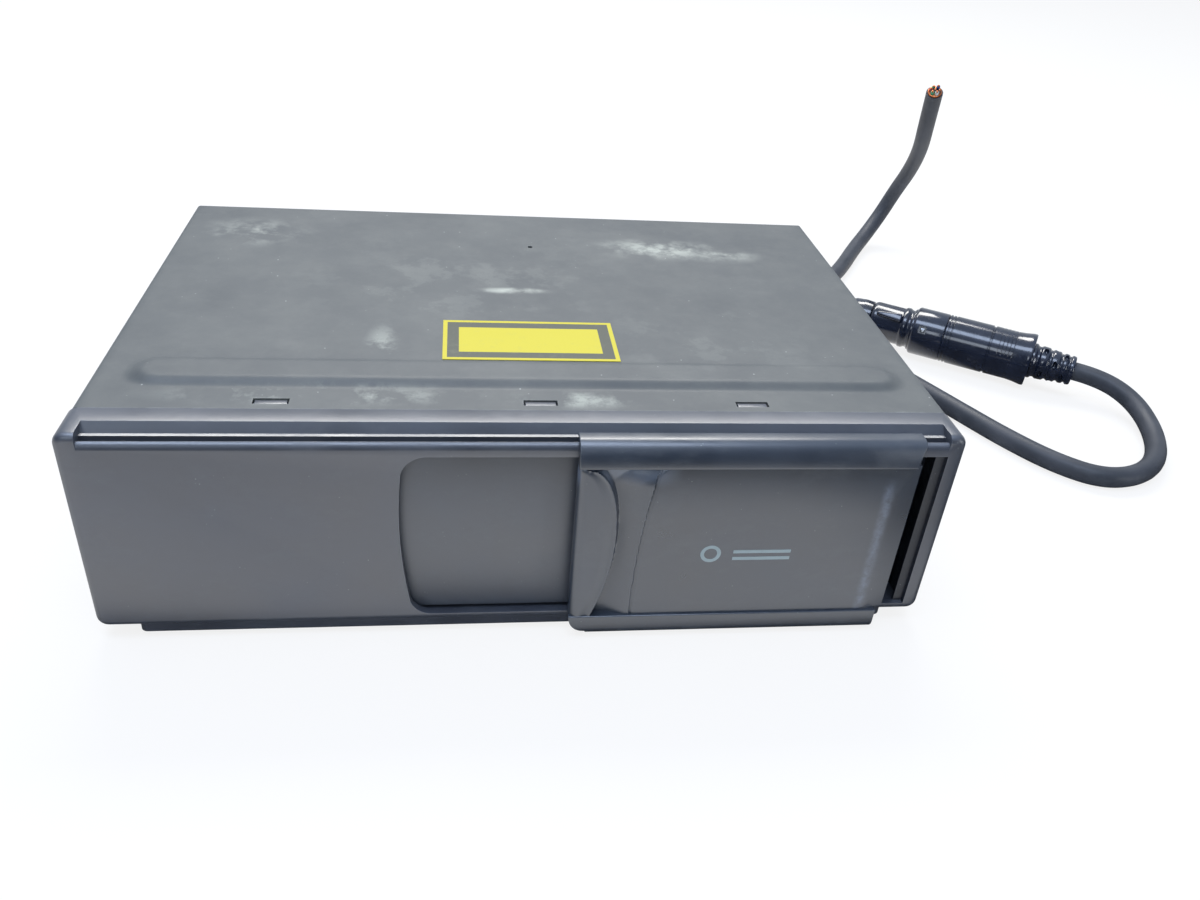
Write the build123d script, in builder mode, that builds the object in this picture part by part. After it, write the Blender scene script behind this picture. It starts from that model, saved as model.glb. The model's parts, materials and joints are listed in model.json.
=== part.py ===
"""Six-disc changer for a car, with its disc magazine, lift mechanism and lead, in millimetres.

Frame: +X to the unit's right as seen from the front, -Y towards the person who loads it, +Z up.
The origin is on the surface that the feet stand on, under the middle of the housing.
Depths (d) are measured backwards from the flat front face of the bezel.
"""

import os
from math import atan2, cos, degrees, pi, radians, sin, sqrt, tan

from build123d import *

os.makedirs("parts", exist_ok=True)

# ---------------------------------------------------------------- driving dimensions
WIDTH = 255.0                  # bezel, side to side
TOP = 72.0                     # cover's flat top above the feet
HOUSING_DEPTH = 173.0          # bezel face to cover's rear edge
DOOR_PROUD = 4.5               # door ahead of the bezel face
FACE_Y = DOOR_PROUD - (HOUSING_DEPTH + DOOR_PROUD) / 2
SHEET = 1.0                    # steel sheet
FIT = 0.06                     # radial play of a shaft in its bore

FACE_BOTTOM = 4.9
BEZEL_DEPTH = 14.3
BEZEL_CORNER = 3.5
BEZEL_EDGE = 2.3
LEDGE = (-121.5, 122.0)        # the stepped rail between the two end blocks
LEDGE_Z = 69.5
GROOVE_FLOOR = 67.0
OPENING_Z = (7.7, 65.2)
OPENING_RIGHT = 119.5

COVER_HALF = 126.1
COVER_BOTTOM = 4.0
BEND = 1.6                     # outside radius of a sheet bend
BEAD_X = (-117.0, 119.0)
BEAD_D = (26.0, 44.0)
BEAD_HEIGHT = 1.8
SNAP_X = (-74.3, 1.8, 65.6)    # slots in the cover that the bezel snaps into
SNAP_D = (17.0, 20.0)

TRAY_Z = 2.5                   # underside of the base tray
FOOT_SPACING = (218.0, 122.0)
FOOT_D = 93.0

BRACKET_Z = 64.0               # threaded holes for the car's mounting brackets
BRACKET_D = (32.0, 157.0)
BRACKET_HOLE_R = 2.1

DOOR_X = (11.5, 114.0)
DOOR_SEAM_Z = 63.2             # joint between the door's top roll and its panel
DOOR_BACK = -0.5

MAGAZINE_X = (-12.0, 118.0)
MAGAZINE_D = (9.5, 145.0)
MAGAZINE_Z = (26.0, 55.0)
DISC_COUNT = 6
DISC_PITCH = 4.4
DISC_R = 60.0
DISC_THICK = 1.2
DISC_HOLE_R = 7.5
LOADED = (53.0, 77.0)          # disc centre in the magazine: x, d
PLAY_TRAVEL = 110.0            # how far a tray slides out to the player
PLAYING = (LOADED[0] - PLAY_TRAVEL, LOADED[1])
TRAY_THICK = 2.4
TRAY_X = (-9.0, 115.0)
TRAY_D = (15.0, 139.0)
FIRST_TRAY_Z = 27.8

DECK_X = (-118.5, -16.0)
DECK_D = (13.0, 141.0)
DECK_Z = 9.8
DECK_THICK = 1.5
SEAT_Z = 15.0                  # turntable's disc seat with the deck parked
LIFT = 36.5
CAM_TRAVEL = 30.0
CAM_X = (-123.6, -122.2)
PIN_D = (45.0, 115.0)          # lift pins on the deck
PIN_Z = 14.6
PIN_R = 1.4
POSTS = ((-114.5, 17.5), (-114.5, 144.5), (-21.0, 144.5))
POST_R = 1.5

CORD_R = 4.3                   # the lead
PIGTAIL_R = 4.0
PLUG_AXIS_Z = 12.5
PLUG_START = (201.7, 110.0)    # locking collar's rear rim, on the surface plan
PLUG_HEADING = -33.0           # degrees from +X


def depth(d):
    """The y of a point d behind the bezel face."""
    return FACE_Y + d


def front_plane(d):
    """Plane facing the front, at depth d: its own x and y are the frame's X and Z."""
    return Plane.XZ.offset(-depth(d))


def side_plane(x):
    """Plane facing +X at x: its own x and y are the frame's Y and Z."""
    return Plane.YZ.offset(x)


def block(x, d, z, mode=Mode.ADD):
    """A box between two limits on each axis."""
    with Locations(((x[0] + x[1]) / 2, depth((d[0] + d[1]) / 2), (z[0] + z[1]) / 2)):
        Box(x[1] - x[0], d[1] - d[0], z[1] - z[0], mode=mode)


def upright(radius, x, d, z, mode=Mode.ADD):
    """A cylinder along Z between two heights."""
    with Locations((x, depth(d), (z[0] + z[1]) / 2)):
        Cylinder(radius, z[1] - z[0], mode=mode)


def crosswise(radius, x, d, z, mode=Mode.ADD):
    """A cylinder along X between two x."""
    with Locations(Location(((x[0] + x[1]) / 2, depth(d), z), (0, 90, 0))):
        Cylinder(radius, x[1] - x[0], mode=mode)


def lengthwise(radius, x, d, z, mode=Mode.ADD):
    """A cylinder along Y between two depths."""
    with Locations(Location((x, depth((d[0] + d[1]) / 2), z), (90, 0, 0))):
        Cylinder(radius, d[1] - d[0], mode=mode)


# ---------------------------------------------------------------- housing
with BuildPart() as front_bezel:
    with BuildSketch(front_plane(0)):
        with Locations((0, (FACE_BOTTOM + TOP) / 2)):
            RectangleRounded(WIDTH, TOP - FACE_BOTTOM, BEZEL_CORNER)
    extrude(amount=-BEZEL_DEPTH)
    fillet(front_bezel.faces().sort_by(Axis.Y)[0].edges(), BEZEL_EDGE)
    # front lip, door groove and ledge, between the end blocks
    with BuildSketch(side_plane(LEDGE[0])):
        with BuildLine():
            Polyline((depth(0), GROOVE_FLOOR - 0.1), (depth(-2), GROOVE_FLOOR - 0.1), (depth(-2), TOP + 1),
                     (depth(7.8), TOP + 1), (depth(6.9), LEDGE_Z), (depth(3.9), LEDGE_Z),
                     (depth(3.9), GROOVE_FLOOR), (depth(1.6), GROOVE_FLOOR), (depth(1.6), LEDGE_Z - 0.2))
            ThreePointArc((depth(1.6), LEDGE_Z - 0.2), (depth(0.5), LEDGE_Z - 1.0), (depth(0), GROOVE_FLOOR - 0.1))
        make_face()
    extrude(amount=LEDGE[1] - LEDGE[0], mode=Mode.SUBTRACT)
    # hollow behind the face and under the strip
    block((-124.5, 122.0), (2.5, 15.0), (7.2, 65.6), Mode.SUBTRACT)
    block((-124.5, 124.5), (8.8, 15.0), (60.0, 69.6), Mode.SUBTRACT)
    # opening for the magazine, its left edge bowed
    with BuildSketch(front_plane(-1)):
        with BuildLine():
            Polyline((-29.5, OPENING_Z[0]), (OPENING_RIGHT, OPENING_Z[0]), (OPENING_RIGHT, OPENING_Z[1]),
                     (-30.8, OPENING_Z[1]))
            ThreePointArc((-30.8, OPENING_Z[1]), (-36.2, 62.8), (-38.2, 57.4))
            ThreePointArc((-38.2, 57.4), (-38.8, 36.0), (-36.6, 14.0))
            ThreePointArc((-36.6, 14.0), (-34.4, 9.4), (-29.5, OPENING_Z[0]))
        make_face()
    extrude(amount=-4.0, mode=Mode.SUBTRACT)
    # the narrow strip right of the opening lies deeper than the face
    block((OPENING_RIGHT - 1, 122.3), (-1.0, 1.8), OPENING_Z, Mode.SUBTRACT)
    # bottom rail that the door's hook runs under
    with BuildSketch(Plane.XY.offset(2.3)):
        with Locations((0, depth(3.9))):
            RectangleRounded(232.0, 6.0, 2.2)
    extrude(amount=3.2)
    # tongue under the cover, with the three snaps
    block((-120.0, 120.0), (13.0, 21.0), (69.4, 70.6))
    for x in SNAP_X:
        block((x - 4.4, x + 4.4), (17.4, 19.4), (70.4, 71.7))
    # tabs that the base tray's corners plug into
    for x in (-118.8, 118.8):
        block((x - 3.5, x + 3.5), (13.0, 22.0), (5.0, 6.6))
front_bezel.part.label = "front_bezel"
export_step(front_bezel.part, "parts/front_bezel.step")

with BuildPart() as top_cover:
    with BuildSketch(front_plane(BEZEL_DEPTH)):
        with Locations((0, TOP - 40.0)):
            RectangleRounded(2 * COVER_HALF, 80.0, BEND)
        with Locations((0, TOP - SHEET - 40.0)):
            RectangleRounded(2 * (COVER_HALF - SHEET), 80.0, BEND - SHEET, mode=Mode.SUBTRACT)
        with Locations((0, COVER_BOTTOM - 20.0)):
            Rectangle(300.0, 40.0, mode=Mode.SUBTRACT)
    extrude(amount=-(HOUSING_DEPTH - BEZEL_DEPTH))
    # pressed stiffening bead: raised outside, hollow inside
    bead_middle = ((BEAD_X[0] + BEAD_X[1]) / 2, depth((BEAD_D[0] + BEAD_D[1]) / 2))
    bead_length = BEAD_X[1] - BEAD_X[0]
    bead_width = BEAD_D[1] - BEAD_D[0]
    with BuildSketch(Plane.XY.offset(TOP)):
        with Locations(bead_middle):
            SlotOverall(bead_length, bead_width)
    extrude(amount=BEAD_HEIGHT, taper=52)
    with BuildSketch(Plane.XY.offset(TOP - SHEET)):
        with Locations(bead_middle):
            SlotOverall(bead_length - 1.2, bead_width - 1.2)
    extrude(amount=BEAD_HEIGHT, taper=52, mode=Mode.SUBTRACT)
    for x in SNAP_X:
        block((x - 5, x + 5), SNAP_D, (TOP - 2, TOP + 1), Mode.SUBTRACT)
    upright(1.0, 5.7, 139.0, (TOP - 2, TOP + 1), Mode.SUBTRACT)
    for side in (-1, 1):
        for d in BRACKET_D:
            crosswise(3.5, sorted((side * 124.0, side * 128.0)), d, BRACKET_Z, Mode.SUBTRACT)
        for d in (24.0, 166.0):
            crosswise(1.6, sorted((side * 124.0, side * 128.0)), d, 9.0, Mode.SUBTRACT)
top_cover.part.label = "top_cover"
export_step(top_cover.part, "parts/top_cover.step")

with BuildPart() as base_tray:
    inside = COVER_HALF - SHEET - 0.1
    block((-inside, inside), (15.0, 171.4), (TRAY_Z, TRAY_Z + SHEET))
    for side in (-1, 1):
        block(sorted((side * inside, side * (inside - SHEET))), (22.5, 168.9), (TRAY_Z, 16.0))
    block((-inside, inside), (170.4, 171.4), (TRAY_Z, 14.0))
    # pressed feet: outside, then the hollow above each
    for start, size, mode in ((TRAY_Z, 18.0, Mode.ADD), (TRAY_Z + SHEET, 17.0, Mode.SUBTRACT)):
        with BuildSketch(Plane.XY.offset(start)):
            with Locations((0, depth(FOOT_D))):
                with GridLocations(FOOT_SPACING[0], FOOT_SPACING[1], 2, 2):
                    Rectangle(size, size)
        extrude(amount=-TRAY_Z, taper=38, mode=mode)
    # stiffening swages along the floor
    for x in (-60.0, 0.0, 60.0):
        with BuildSketch(Plane.XY.offset(TRAY_Z + SHEET)):
            with Locations((x, depth(93.0))):
                Rectangle(7.0, 110.0)
        extrude(amount=0.9, taper=45)
    for side in (-1, 1):
        for d in (24.0, 166.0):
            crosswise(1.25, sorted((side * 120.0, side * 128.0)), d, 9.0, Mode.SUBTRACT)
base_tray.part.label = "base_tray"
export_step(base_tray.part, "parts/base_tray.step")

GROMMET = (103.0, 26.0)        # cable outlet in the rear panel: x, z
REAR_D = 169.2                 # rear panel's inner face
with BuildPart() as rear_panel:
    block((-124.9, 124.9), (REAR_D, REAR_D + SHEET), (14.6, 70.8))
    for side in (-1, 1):
        block(sorted((side * 124.9, side * 123.9)), (REAR_D - 4.5, REAR_D + 0.5), (16.6, 58.0))
    with BuildSketch(front_plane(REAR_D + SHEET)):
        with Locations((-20.0, 42.0)):
            SlotOverall(150.0, 12.0)
    extrude(amount=-0.9, taper=40)
    lengthwise(6.0, GROMMET[0], (REAR_D - 2, REAR_D + 3), GROMMET[1], Mode.SUBTRACT)
rear_panel.part.label = "rear_panel"
export_step(rear_panel.part, "parts/rear_panel.step")

with BuildPart() as bracket_nuts:
    for side in (-1, 1):
        for d in BRACKET_D:
            crosswise(3.45, sorted((side * COVER_HALF, side * 125.0)), d, BRACKET_Z)
            with BuildSketch(side_plane(side * 125.05)):
                with Locations((depth(d), BRACKET_Z)):
                    RegularPolygon(4.8, 6)
            extrude(amount=-side * 3.4)
            crosswise(BRACKET_HOLE_R, sorted((side * 130.0, side * 120.0)), d, BRACKET_Z, Mode.SUBTRACT)
bracket_nuts.part.label = "bracket_nuts"
export_step(bracket_nuts.part, "parts/bracket_nuts.step")

with BuildPart() as cover_screws:
    for side in (-1, 1):
        for d in (24.0, 166.0):
            crosswise(2.7, sorted((side * COVER_HALF, side * 127.2)), d, 9.0)
            crosswise(1.2, sorted((side * 127.0, side * 122.2)), d, 9.0)
            with Locations(Location((side * 127.2, depth(d), 9.0), (0, 90, 0))):
                Box(0.7, 3.2, 1.2, mode=Mode.SUBTRACT)
                Box(3.2, 0.7, 1.2, mode=Mode.SUBTRACT)
cover_screws.part.label = "cover_screws"
export_step(cover_screws.part, "parts/cover_screws.step")

# ---------------------------------------------------------------- sliding door
with BuildPart() as door_top_roll:
    with BuildSketch(side_plane(DOOR_X[0])):
        with BuildLine():
            Polyline((depth(DOOR_BACK), DOOR_SEAM_Z), (depth(-3.7), DOOR_SEAM_Z), (depth(-4.5), DOOR_SEAM_Z + 0.9),
                     (depth(-4.5), 67.4))
            ThreePointArc((depth(-4.5), 67.4), (depth(-3.3), 70.1), (depth(-0.6), 71.3))
            Line((depth(-0.6), 71.3), (depth(3.2), 71.3))
            ThreePointArc((depth(3.2), 71.3), (depth(3.9), 71.0), (depth(4.2), 70.3))
            Polyline((depth(4.2), 70.3), (depth(4.2), 69.9), (depth(3.3), 69.9), (depth(3.3), 67.7),
                     (depth(2.3), 67.7), (depth(2.3), 69.9), (depth(0.4), 69.9), (depth(DOOR_BACK), 68.9),
                     (depth(DOOR_BACK), DOOR_SEAM_Z))
        make_face()
    extrude(amount=DOOR_X[1] - DOOR_X[0])
    # right end cut back, in line with the panel's slope
    with BuildSketch(Plane.XY.offset(DOOR_SEAM_Z - 1)):
        with BuildLine():
            right = DOOR_X[1]
            Polyline((right - 3.1, depth(-5.2)), (right, depth(-1.9)), (right + 1, depth(-1.9)),
                     (right + 1, depth(-5.2)), (right - 3.1, depth(-5.2)))
        make_face()
    extrude(amount=10.0, mode=Mode.SUBTRACT)
door_top_roll.part.label = "door_top_roll"
export_step(door_top_roll.part, "parts/door_top_roll.step")

PANEL_FRONT = -3.6
BAND_TOP = 9.0
PANEL_RIGHT = 106.5            # where the front starts to slope back to the right edge
with BuildPart() as grip_hollow:
    # steep behind the crescent, then rising gently to the panel
    with BuildSketch(Plane.XY.offset(BAND_TOP)):
        with BuildLine():
            Polyline((5.0, depth(-6.0)), (5.0, depth(-1.3)), (25.6, depth(-1.3)), (29.0, depth(-1.9)),
                     (33.0, depth(PANEL_FRONT - 0.2)), (41.0, depth(-6.0)), (5.0, depth(-6.0)))
        make_face()
    extrude(amount=DOOR_SEAM_Z - BAND_TOP + 1)
    with BuildSketch(front_plane(-7)):
        with BuildLine():
            ThreePointArc((13.0, DOOR_SEAM_Z + 1), (24.3, 40.0), (20.0, BAND_TOP))
            Line((20.0, BAND_TOP), (31.6, BAND_TOP))
            Line((31.6, BAND_TOP), (31.4, 31.0))
            ThreePointArc((31.4, 31.0), (32.0, 46.0), (34.2, 58.0))
            ThreePointArc((34.2, 58.0), (35.6, 60.6), (38.5, 61.8))
            Polyline((38.5, 61.8), (38.5, DOOR_SEAM_Z + 1), (13.0, DOOR_SEAM_Z + 1))
        make_face()
    extrude(amount=-8.0, mode=Mode.INTERSECT)

with BuildPart() as door_panel:
    with BuildSketch(Plane.XY.offset(BAND_TOP)):
        with BuildLine():
            Polyline((13.6, depth(-4.3)), (29.5, depth(-4.3)), (32.5, depth(PANEL_FRONT)),
                     (PANEL_RIGHT, depth(PANEL_FRONT)), (DOOR_X[1], depth(-1.9)), (DOOR_X[1], depth(DOOR_BACK)),
                     (DOOR_X[0], depth(DOOR_BACK)), (DOOR_X[0], depth(-2.4)))
            ThreePointArc((DOOR_X[0], depth(-2.4)), (12.1, depth(-3.8)), (13.6, depth(-4.3)))
        make_face()
    extrude(amount=DOOR_SEAM_Z - BAND_TOP)
    add(grip_hollow.part, mode=Mode.SUBTRACT)
    # bottom band, with the hook that runs under the bezel's rail
    with BuildSketch(side_plane(13.0)):
        with BuildLine():
            Polyline((depth(DOOR_BACK), BAND_TOP), (depth(-4.5), BAND_TOP), (depth(-4.5), 4.2))
            ThreePointArc((depth(-4.5), 4.2), (depth(-3.6), 1.8), (depth(-1.2), 0.8))
            Polyline((depth(-1.2), 0.8), (depth(5.6), 0.8), (depth(5.6), 1.8), (depth(0.2), 1.8),
                     (depth(0.2), 4.2), (depth(DOOR_BACK), 4.2), (depth(DOOR_BACK), BAND_TOP))
        make_face()
    extrude(amount=98.0)
door_panel.part.label = "door_panel"
export_step(door_panel.part, "parts/door_panel.step")

SHUTTER_X = (-45.0, 27.0)
SHUTTER_D = (3.0, 4.4)
with BuildPart() as inner_shutter:
    block(SHUTTER_X, SHUTTER_D, (8.4, 64.6))
    block((SHUTTER_X[0], SHUTTER_X[0] + 1.2), (SHUTTER_D[0], 6.6), (8.4, 64.6))
    for z in (12.6, 61.6):
        block((SHUTTER_X[0] + 1, SHUTTER_X[1] - 4), (SHUTTER_D[1] - 0.2, 5.6), (z - 0.6, z + 0.6))
inner_shutter.part.label = "inner_shutter"
export_step(inner_shutter.part, "parts/inner_shutter.step")

BUTTON = (101.0, 17.0)         # eject button: x, z
with BuildPart() as mouth_panel:
    with BuildSketch(front_plane(10.6)):
        with Locations((37.9, 36.4)):
            Rectangle(167.4, 57.6)
        with Locations(((MAGAZINE_X[0] + MAGAZINE_X[1]) / 2, (MAGAZINE_Z[0] + MAGAZINE_Z[1]) / 2)):
            Rectangle(MAGAZINE_X[1] - MAGAZINE_X[0] + 1.2, MAGAZINE_Z[1] - MAGAZINE_Z[0] + 1.2, mode=Mode.SUBTRACT)
        with Locations(BUTTON):
            RectangleRounded(14.8, 6.8, 2.4, mode=Mode.SUBTRACT)
    extrude(amount=-SHEET)
    block((-45.8, 121.6), (10.6, 17.0), (64.6, 65.2))
mouth_panel.part.label = "mouth_panel"
export_step(mouth_panel.part, "parts/mouth_panel.step")

with BuildPart() as eject_button:
    with BuildSketch(front_plane(7.6)):
        with Locations(BUTTON):
            RectangleRounded(14.0, 6.0, 2.0)
    extrude(amount=-4.6)
    chamfer(eject_button.faces().sort_by(Axis.Y)[0].edges(), 0.5)
    with BuildSketch(front_plane(12.2)):
        with Locations(BUTTON):
            RectangleRounded(17.0, 9.0, 2.0)
    extrude(amount=-1.2)
    lengthwise(1.6, BUTTON[0], (13.2, 19.6), BUTTON[1])
eject_button.part.label = "eject_button"
export_step(eject_button.part, "parts/eject_button.step")

# ---------------------------------------------------------------- fixed mechanism frame
PLATE_Z = (8.0, 9.2)
WALL_X = (-121.6, -120.4)
SHELF_Z = (24.4, 25.6)
LEVER_PIVOT = (84.0, 24.0)     # eject lever: x, d
with BuildPart() as mech_chassis:
    block((WALL_X[0], 119.8), (17.0, 168.0), PLATE_Z)
    block((-88.0, -28.0), (16.0, 96.0), (5.0, 12.0), Mode.SUBTRACT)
    # lift wall: the deck's pins reach through its upright slots
    block(WALL_X, (20.0, 141.0), (PLATE_Z[0], 56.0))
    for d in PIN_D:
        block((-123.0, -119.0), (d - PIN_R - 0.3, d + PIN_R + 0.3), (PIN_Z - 2.4, PIN_Z + LIFT + 2.4), Mode.SUBTRACT)
    for x, d in POSTS:
        upright(4.0, x, d, (PLATE_Z[0], PLATE_Z[1]))
        upright(POST_R, x, d, (PLATE_Z[0] - 1, PLATE_Z[1] + 1), Mode.SUBTRACT)
    upright(1.5, LEVER_PIVOT[0], LEVER_PIVOT[1], (PLATE_Z[1] - 0.2, 19.4))
mech_chassis.part.label = "mech_chassis"
export_step(mech_chassis.part, "parts/mech_chassis.step")

with BuildPart() as magazine_guide:
    # left leg, shelf and right wall folded from one sheet
    block((-13.2, -12.2), (26.0, 139.0), (PLATE_Z[1], SHELF_Z[1]))
    block((-13.2, 119.8), (12.6, 151.2), SHELF_Z)
    block((118.6, 119.8), (12.6, 151.2), (PLATE_Z[1], 60.0))
    block((-10.0, 119.8), (150.2, 151.2), (SHELF_Z[0], 56.0))
    block((-14.0, -11.0), (52.0, 112.0), (12.0, 22.0), Mode.SUBTRACT)
    for d in (45.0, 95.0):
        block((118.0, 120.5), (d, d + 30), (12.0, 21.0), Mode.SUBTRACT)
magazine_guide.part.label = "magazine_guide"
export_step(magazine_guide.part, "parts/magazine_guide.step")

with BuildPart() as guide_posts:
    for x, d in POSTS:
        upright(POST_R, x, d, (PLATE_Z[0] - 0.6, 56.0))
guide_posts.part.label = "guide_posts"
export_step(guide_posts.part, "parts/guide_posts.step")

with BuildPart() as oil_dampers:
    for x, d in ((-108.0, 24.0), (-108.0, 158.0), (106.0, 24.0), (106.0, 158.0)):
        upright(6.5, x, d, (TRAY_Z + SHEET, PLATE_Z[0]))
oil_dampers.part.label = "oil_dampers"
export_step(oil_dampers.part, "parts/oil_dampers.step")

with BuildPart() as main_circuit_board:
    block((-8.0, 114.0), (62.0, 164.0), (13.0, 14.6))
    for x, d in ((-3.0, 68.0), (109.0, 68.0), (-3.0, 158.0), (109.0, 158.0)):
        upright(1.6, x, d, (12.0, 16.0), Mode.SUBTRACT)
main_circuit_board.part.label = "main_circuit_board"
export_step(main_circuit_board.part, "parts/main_circuit_board.step")

with BuildPart() as board_components:
    for x, d, wide, deep in ((22.0, 96.0, 20.0, 14.0), (60.0, 90.0, 14.0, 14.0), (84.0, 124.0, 10.0, 16.0)):
        block((x, x + wide), (d, d + deep), (14.6, 16.8))
    for x, d in ((10.0, 132.0), (24.0, 132.0), (38.0, 132.0), (100.0, 82.0)):
        upright(4.0, x, d, (14.6, 23.4))
    block((84.0, 104.0), (150.0, 160.0), (14.6, 22.0))
    for row in range(3):
        block((52.0 + 8 * row, 56.0 + 8 * row), (140.0, 148.0), (14.6, 17.4))
board_components.part.label = "board_components"
export_step(board_components.part, "parts/board_components.step")

with BuildPart() as board_standoffs:
    for x, d in ((-3.0, 68.0), (109.0, 68.0), (-3.0, 158.0), (109.0, 158.0)):
        # hexagonal, with a spigot through the board
        with BuildSketch(Plane.XY.offset(PLATE_Z[1])):
            with Locations((x, depth(d))):
                RegularPolygon(3.2, 6)
        extrude(amount=13.0 - PLATE_Z[1])
        with BuildSketch(Plane.XY.offset(13.0)):
            with Locations((x, depth(d))):
                RegularPolygon(1.5, 6)
        extrude(amount=2.6)
board_standoffs.part.label = "board_standoffs"
export_step(board_standoffs.part, "parts/board_standoffs.step")

with BuildPart() as eject_lever:
    # bent flat lever: one end behind the button's stem, the other behind the magazine's heel
    upright(4.2, LEVER_PIVOT[0], LEVER_PIVOT[1], (16.2, 17.8))
    block((LEVER_PIVOT[0], BUTTON[0] + 3), (20.0, 25.4), (16.2, 17.8))
    block((LEVER_PIVOT[0] - 26, LEVER_PIVOT[0]), (22.0, 26.0), (16.2, 17.8))
    block((LEVER_PIVOT[0] - 26, LEVER_PIVOT[0] - 22), (22.0, 26.0), (16.2, 23.6))
    upright(POST_R + FIT, LEVER_PIVOT[0], LEVER_PIVOT[1], (15.0, 19.0), Mode.SUBTRACT)
eject_lever.part.label = "eject_lever"
export_step(eject_lever.part, "parts/eject_lever.step")

# ---------------------------------------------------------------- disc magazine
WALL = 2.0
with BuildPart() as magazine_case:
    block(MAGAZINE_X, MAGAZINE_D, MAGAZINE_Z)
    # open on the left, where the trays come out
    block((MAGAZINE_X[0] - 1, MAGAZINE_X[1] - WALL), (MAGAZINE_D[0] + WALL, MAGAZINE_D[1] - WALL),
          (MAGAZINE_Z[0] + 1.4, MAGAZINE_Z[1] - 1.6), Mode.SUBTRACT)
    # rails that carry the trays by their front and rear edges
    for level in range(1, DISC_COUNT):
        rail_top = FIRST_TRAY_Z + level * DISC_PITCH - 0.3
        block((MAGAZINE_X[0] + 1, MAGAZINE_X[1] - WALL), (MAGAZINE_D[0] + WALL - 0.5, TRAY_D[0] + 1.2),
              (rail_top - 1.0, rail_top))
        block((MAGAZINE_X[0] + 1, MAGAZINE_X[1] - WALL), (TRAY_D[1] - 1.2, MAGAZINE_D[1] - WALL + 0.5),
              (rail_top - 1.0, rail_top))
    # finger recess and label field on the front, arrow-side notch on the roof
    with BuildSketch(front_plane(MAGAZINE_D[0] - 0.1)):
        with Locations((96.0, 40.5)):
            RectangleRounded(30.0, 18.0, 4.0)
    extrude(amount=-1.1, mode=Mode.SUBTRACT)
    with BuildSketch(front_plane(MAGAZINE_D[0] - 0.1)):
        with Locations((36.0, 40.5)):
            RectangleRounded(76.0, 20.0, 1.5)
    extrude(amount=-0.6, mode=Mode.SUBTRACT)
magazine_case.part.label = "magazine_case"
export_step(magazine_case.part, "parts/magazine_case.step")

for level in range(DISC_COUNT):
    tray_z = FIRST_TRAY_Z + level * DISC_PITCH
    with BuildPart() as tray:
        with BuildSketch(Plane.XY.offset(tray_z)):
            with Locations(((TRAY_X[0] + TRAY_X[1]) / 2, depth((TRAY_D[0] + TRAY_D[1]) / 2))):
                Rectangle(TRAY_X[1] - TRAY_X[0], TRAY_D[1] - TRAY_D[0])
        extrude(amount=TRAY_THICK)
        chamfer(tray.edges().filter_by(Axis.Z).group_by(Axis.X)[0], 12.0)
        # recess whose eight sides hold the disc's rim
        with BuildSketch(Plane.XY.offset(tray_z + TRAY_THICK)):
            with Locations((LOADED[0], depth(LOADED[1]))):
                RegularPolygon(DISC_R + 0.8, 8, major_radius=False, rotation=22.5)
        extrude(amount=-1.4, mode=Mode.SUBTRACT)
        # cut-out for the turntable and, towards the front, for the pickup
        with BuildSketch(Plane.XY.offset(tray_z)):
            with Locations((LOADED[0], depth(LOADED[1]))):
                RegularPolygon(19.0, 8, major_radius=False, rotation=22.5)
        extrude(amount=TRAY_THICK, mode=Mode.SUBTRACT)
        block((LOADED[0] - 15, LOADED[0] + 15), (19.5, LOADED[1]), (tray_z - 1, tray_z + 5), Mode.SUBTRACT)
    tray.part.label = f"tray_{level + 1}"
    export_step(tray.part, f"parts/tray_{level + 1}.step")

    with BuildPart() as disc:
        with BuildSketch(Plane.XY.offset(tray_z + TRAY_THICK - 1.4)):
            with Locations((LOADED[0], depth(LOADED[1]))):
                Circle(DISC_R)
                Circle(DISC_HOLE_R, mode=Mode.SUBTRACT)
        extrude(amount=DISC_THICK)
    disc.part.label = f"disc_{level + 1}"
    export_step(disc.part, f"parts/disc_{level + 1}.step")

# ---------------------------------------------------------------- lift deck and player
SPINDLE = PLAYING
ROD_X = (SPINDLE[0] - 12.0, SPINDLE[0] + 12.0)
ROD_Z = 8.6
SCREW_X = SPINDLE[0] - 19.0
LENS_D = SPINDLE[1] - 24.0
with BuildPart() as lift_deck:
    with BuildSketch(Plane.XY.offset(DECK_Z)):
        with Locations(((DECK_X[0] + DECK_X[1]) / 2, depth((DECK_D[0] + DECK_D[1]) / 2))):
            Rectangle(DECK_X[1] - DECK_X[0], DECK_D[1] - DECK_D[0])
        # window for the pickup
        with Locations((SPINDLE[0] - 2.0, depth(38.9))):
            Rectangle(40.0, 43.4, mode=Mode.SUBTRACT)
    extrude(amount=DECK_THICK)
    upright(2.2, SPINDLE[0], SPINDLE[1], (0, 20), Mode.SUBTRACT)
    # lift pins on the left skirt, out through the lift wall into the cam
    block((DECK_X[0], DECK_X[0] + 1.2), (30.0, 130.0), (DECK_Z, 18.0))
    for d in PIN_D:
        crosswise(PIN_R, (-123.4, DECK_X[0] + 0.5), d, PIN_Z)
    # lugs that run on the guide posts
    for x, d in POSTS:
        upright(3.6, x, d, (DECK_Z, DECK_Z + 6))
        upright(POST_R + FIT, x, d, (0, 40), Mode.SUBTRACT)
    # ears for the clamp arm
    for x in (SPINDLE[0] - 21.0, SPINDLE[0] + 21.0):
        block((x - 1, x + 1), (128.0, 136.0), (DECK_Z + 1, 21.0))
        crosswise(1.2 + FIT, (x - 2, x + 2), 132.0, 17.0, Mode.SUBTRACT)
    # hangers for the sled rods, notched from below
    for d in (15.6, 61.5):
        block((ROD_X[0] - 4.5, ROD_X[1] + 4.5), (d - 0.9, d + 0.9), (7.0, DECK_Z + 0.5))
        for x in ROD_X:
            block((x - 1.2, x + 1.2), (d - 2, d + 2), (6.0, ROD_Z + 1.2), Mode.SUBTRACT)
lift_deck.part.label = "lift_deck"
export_step(lift_deck.part, "parts/lift_deck.step")

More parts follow.
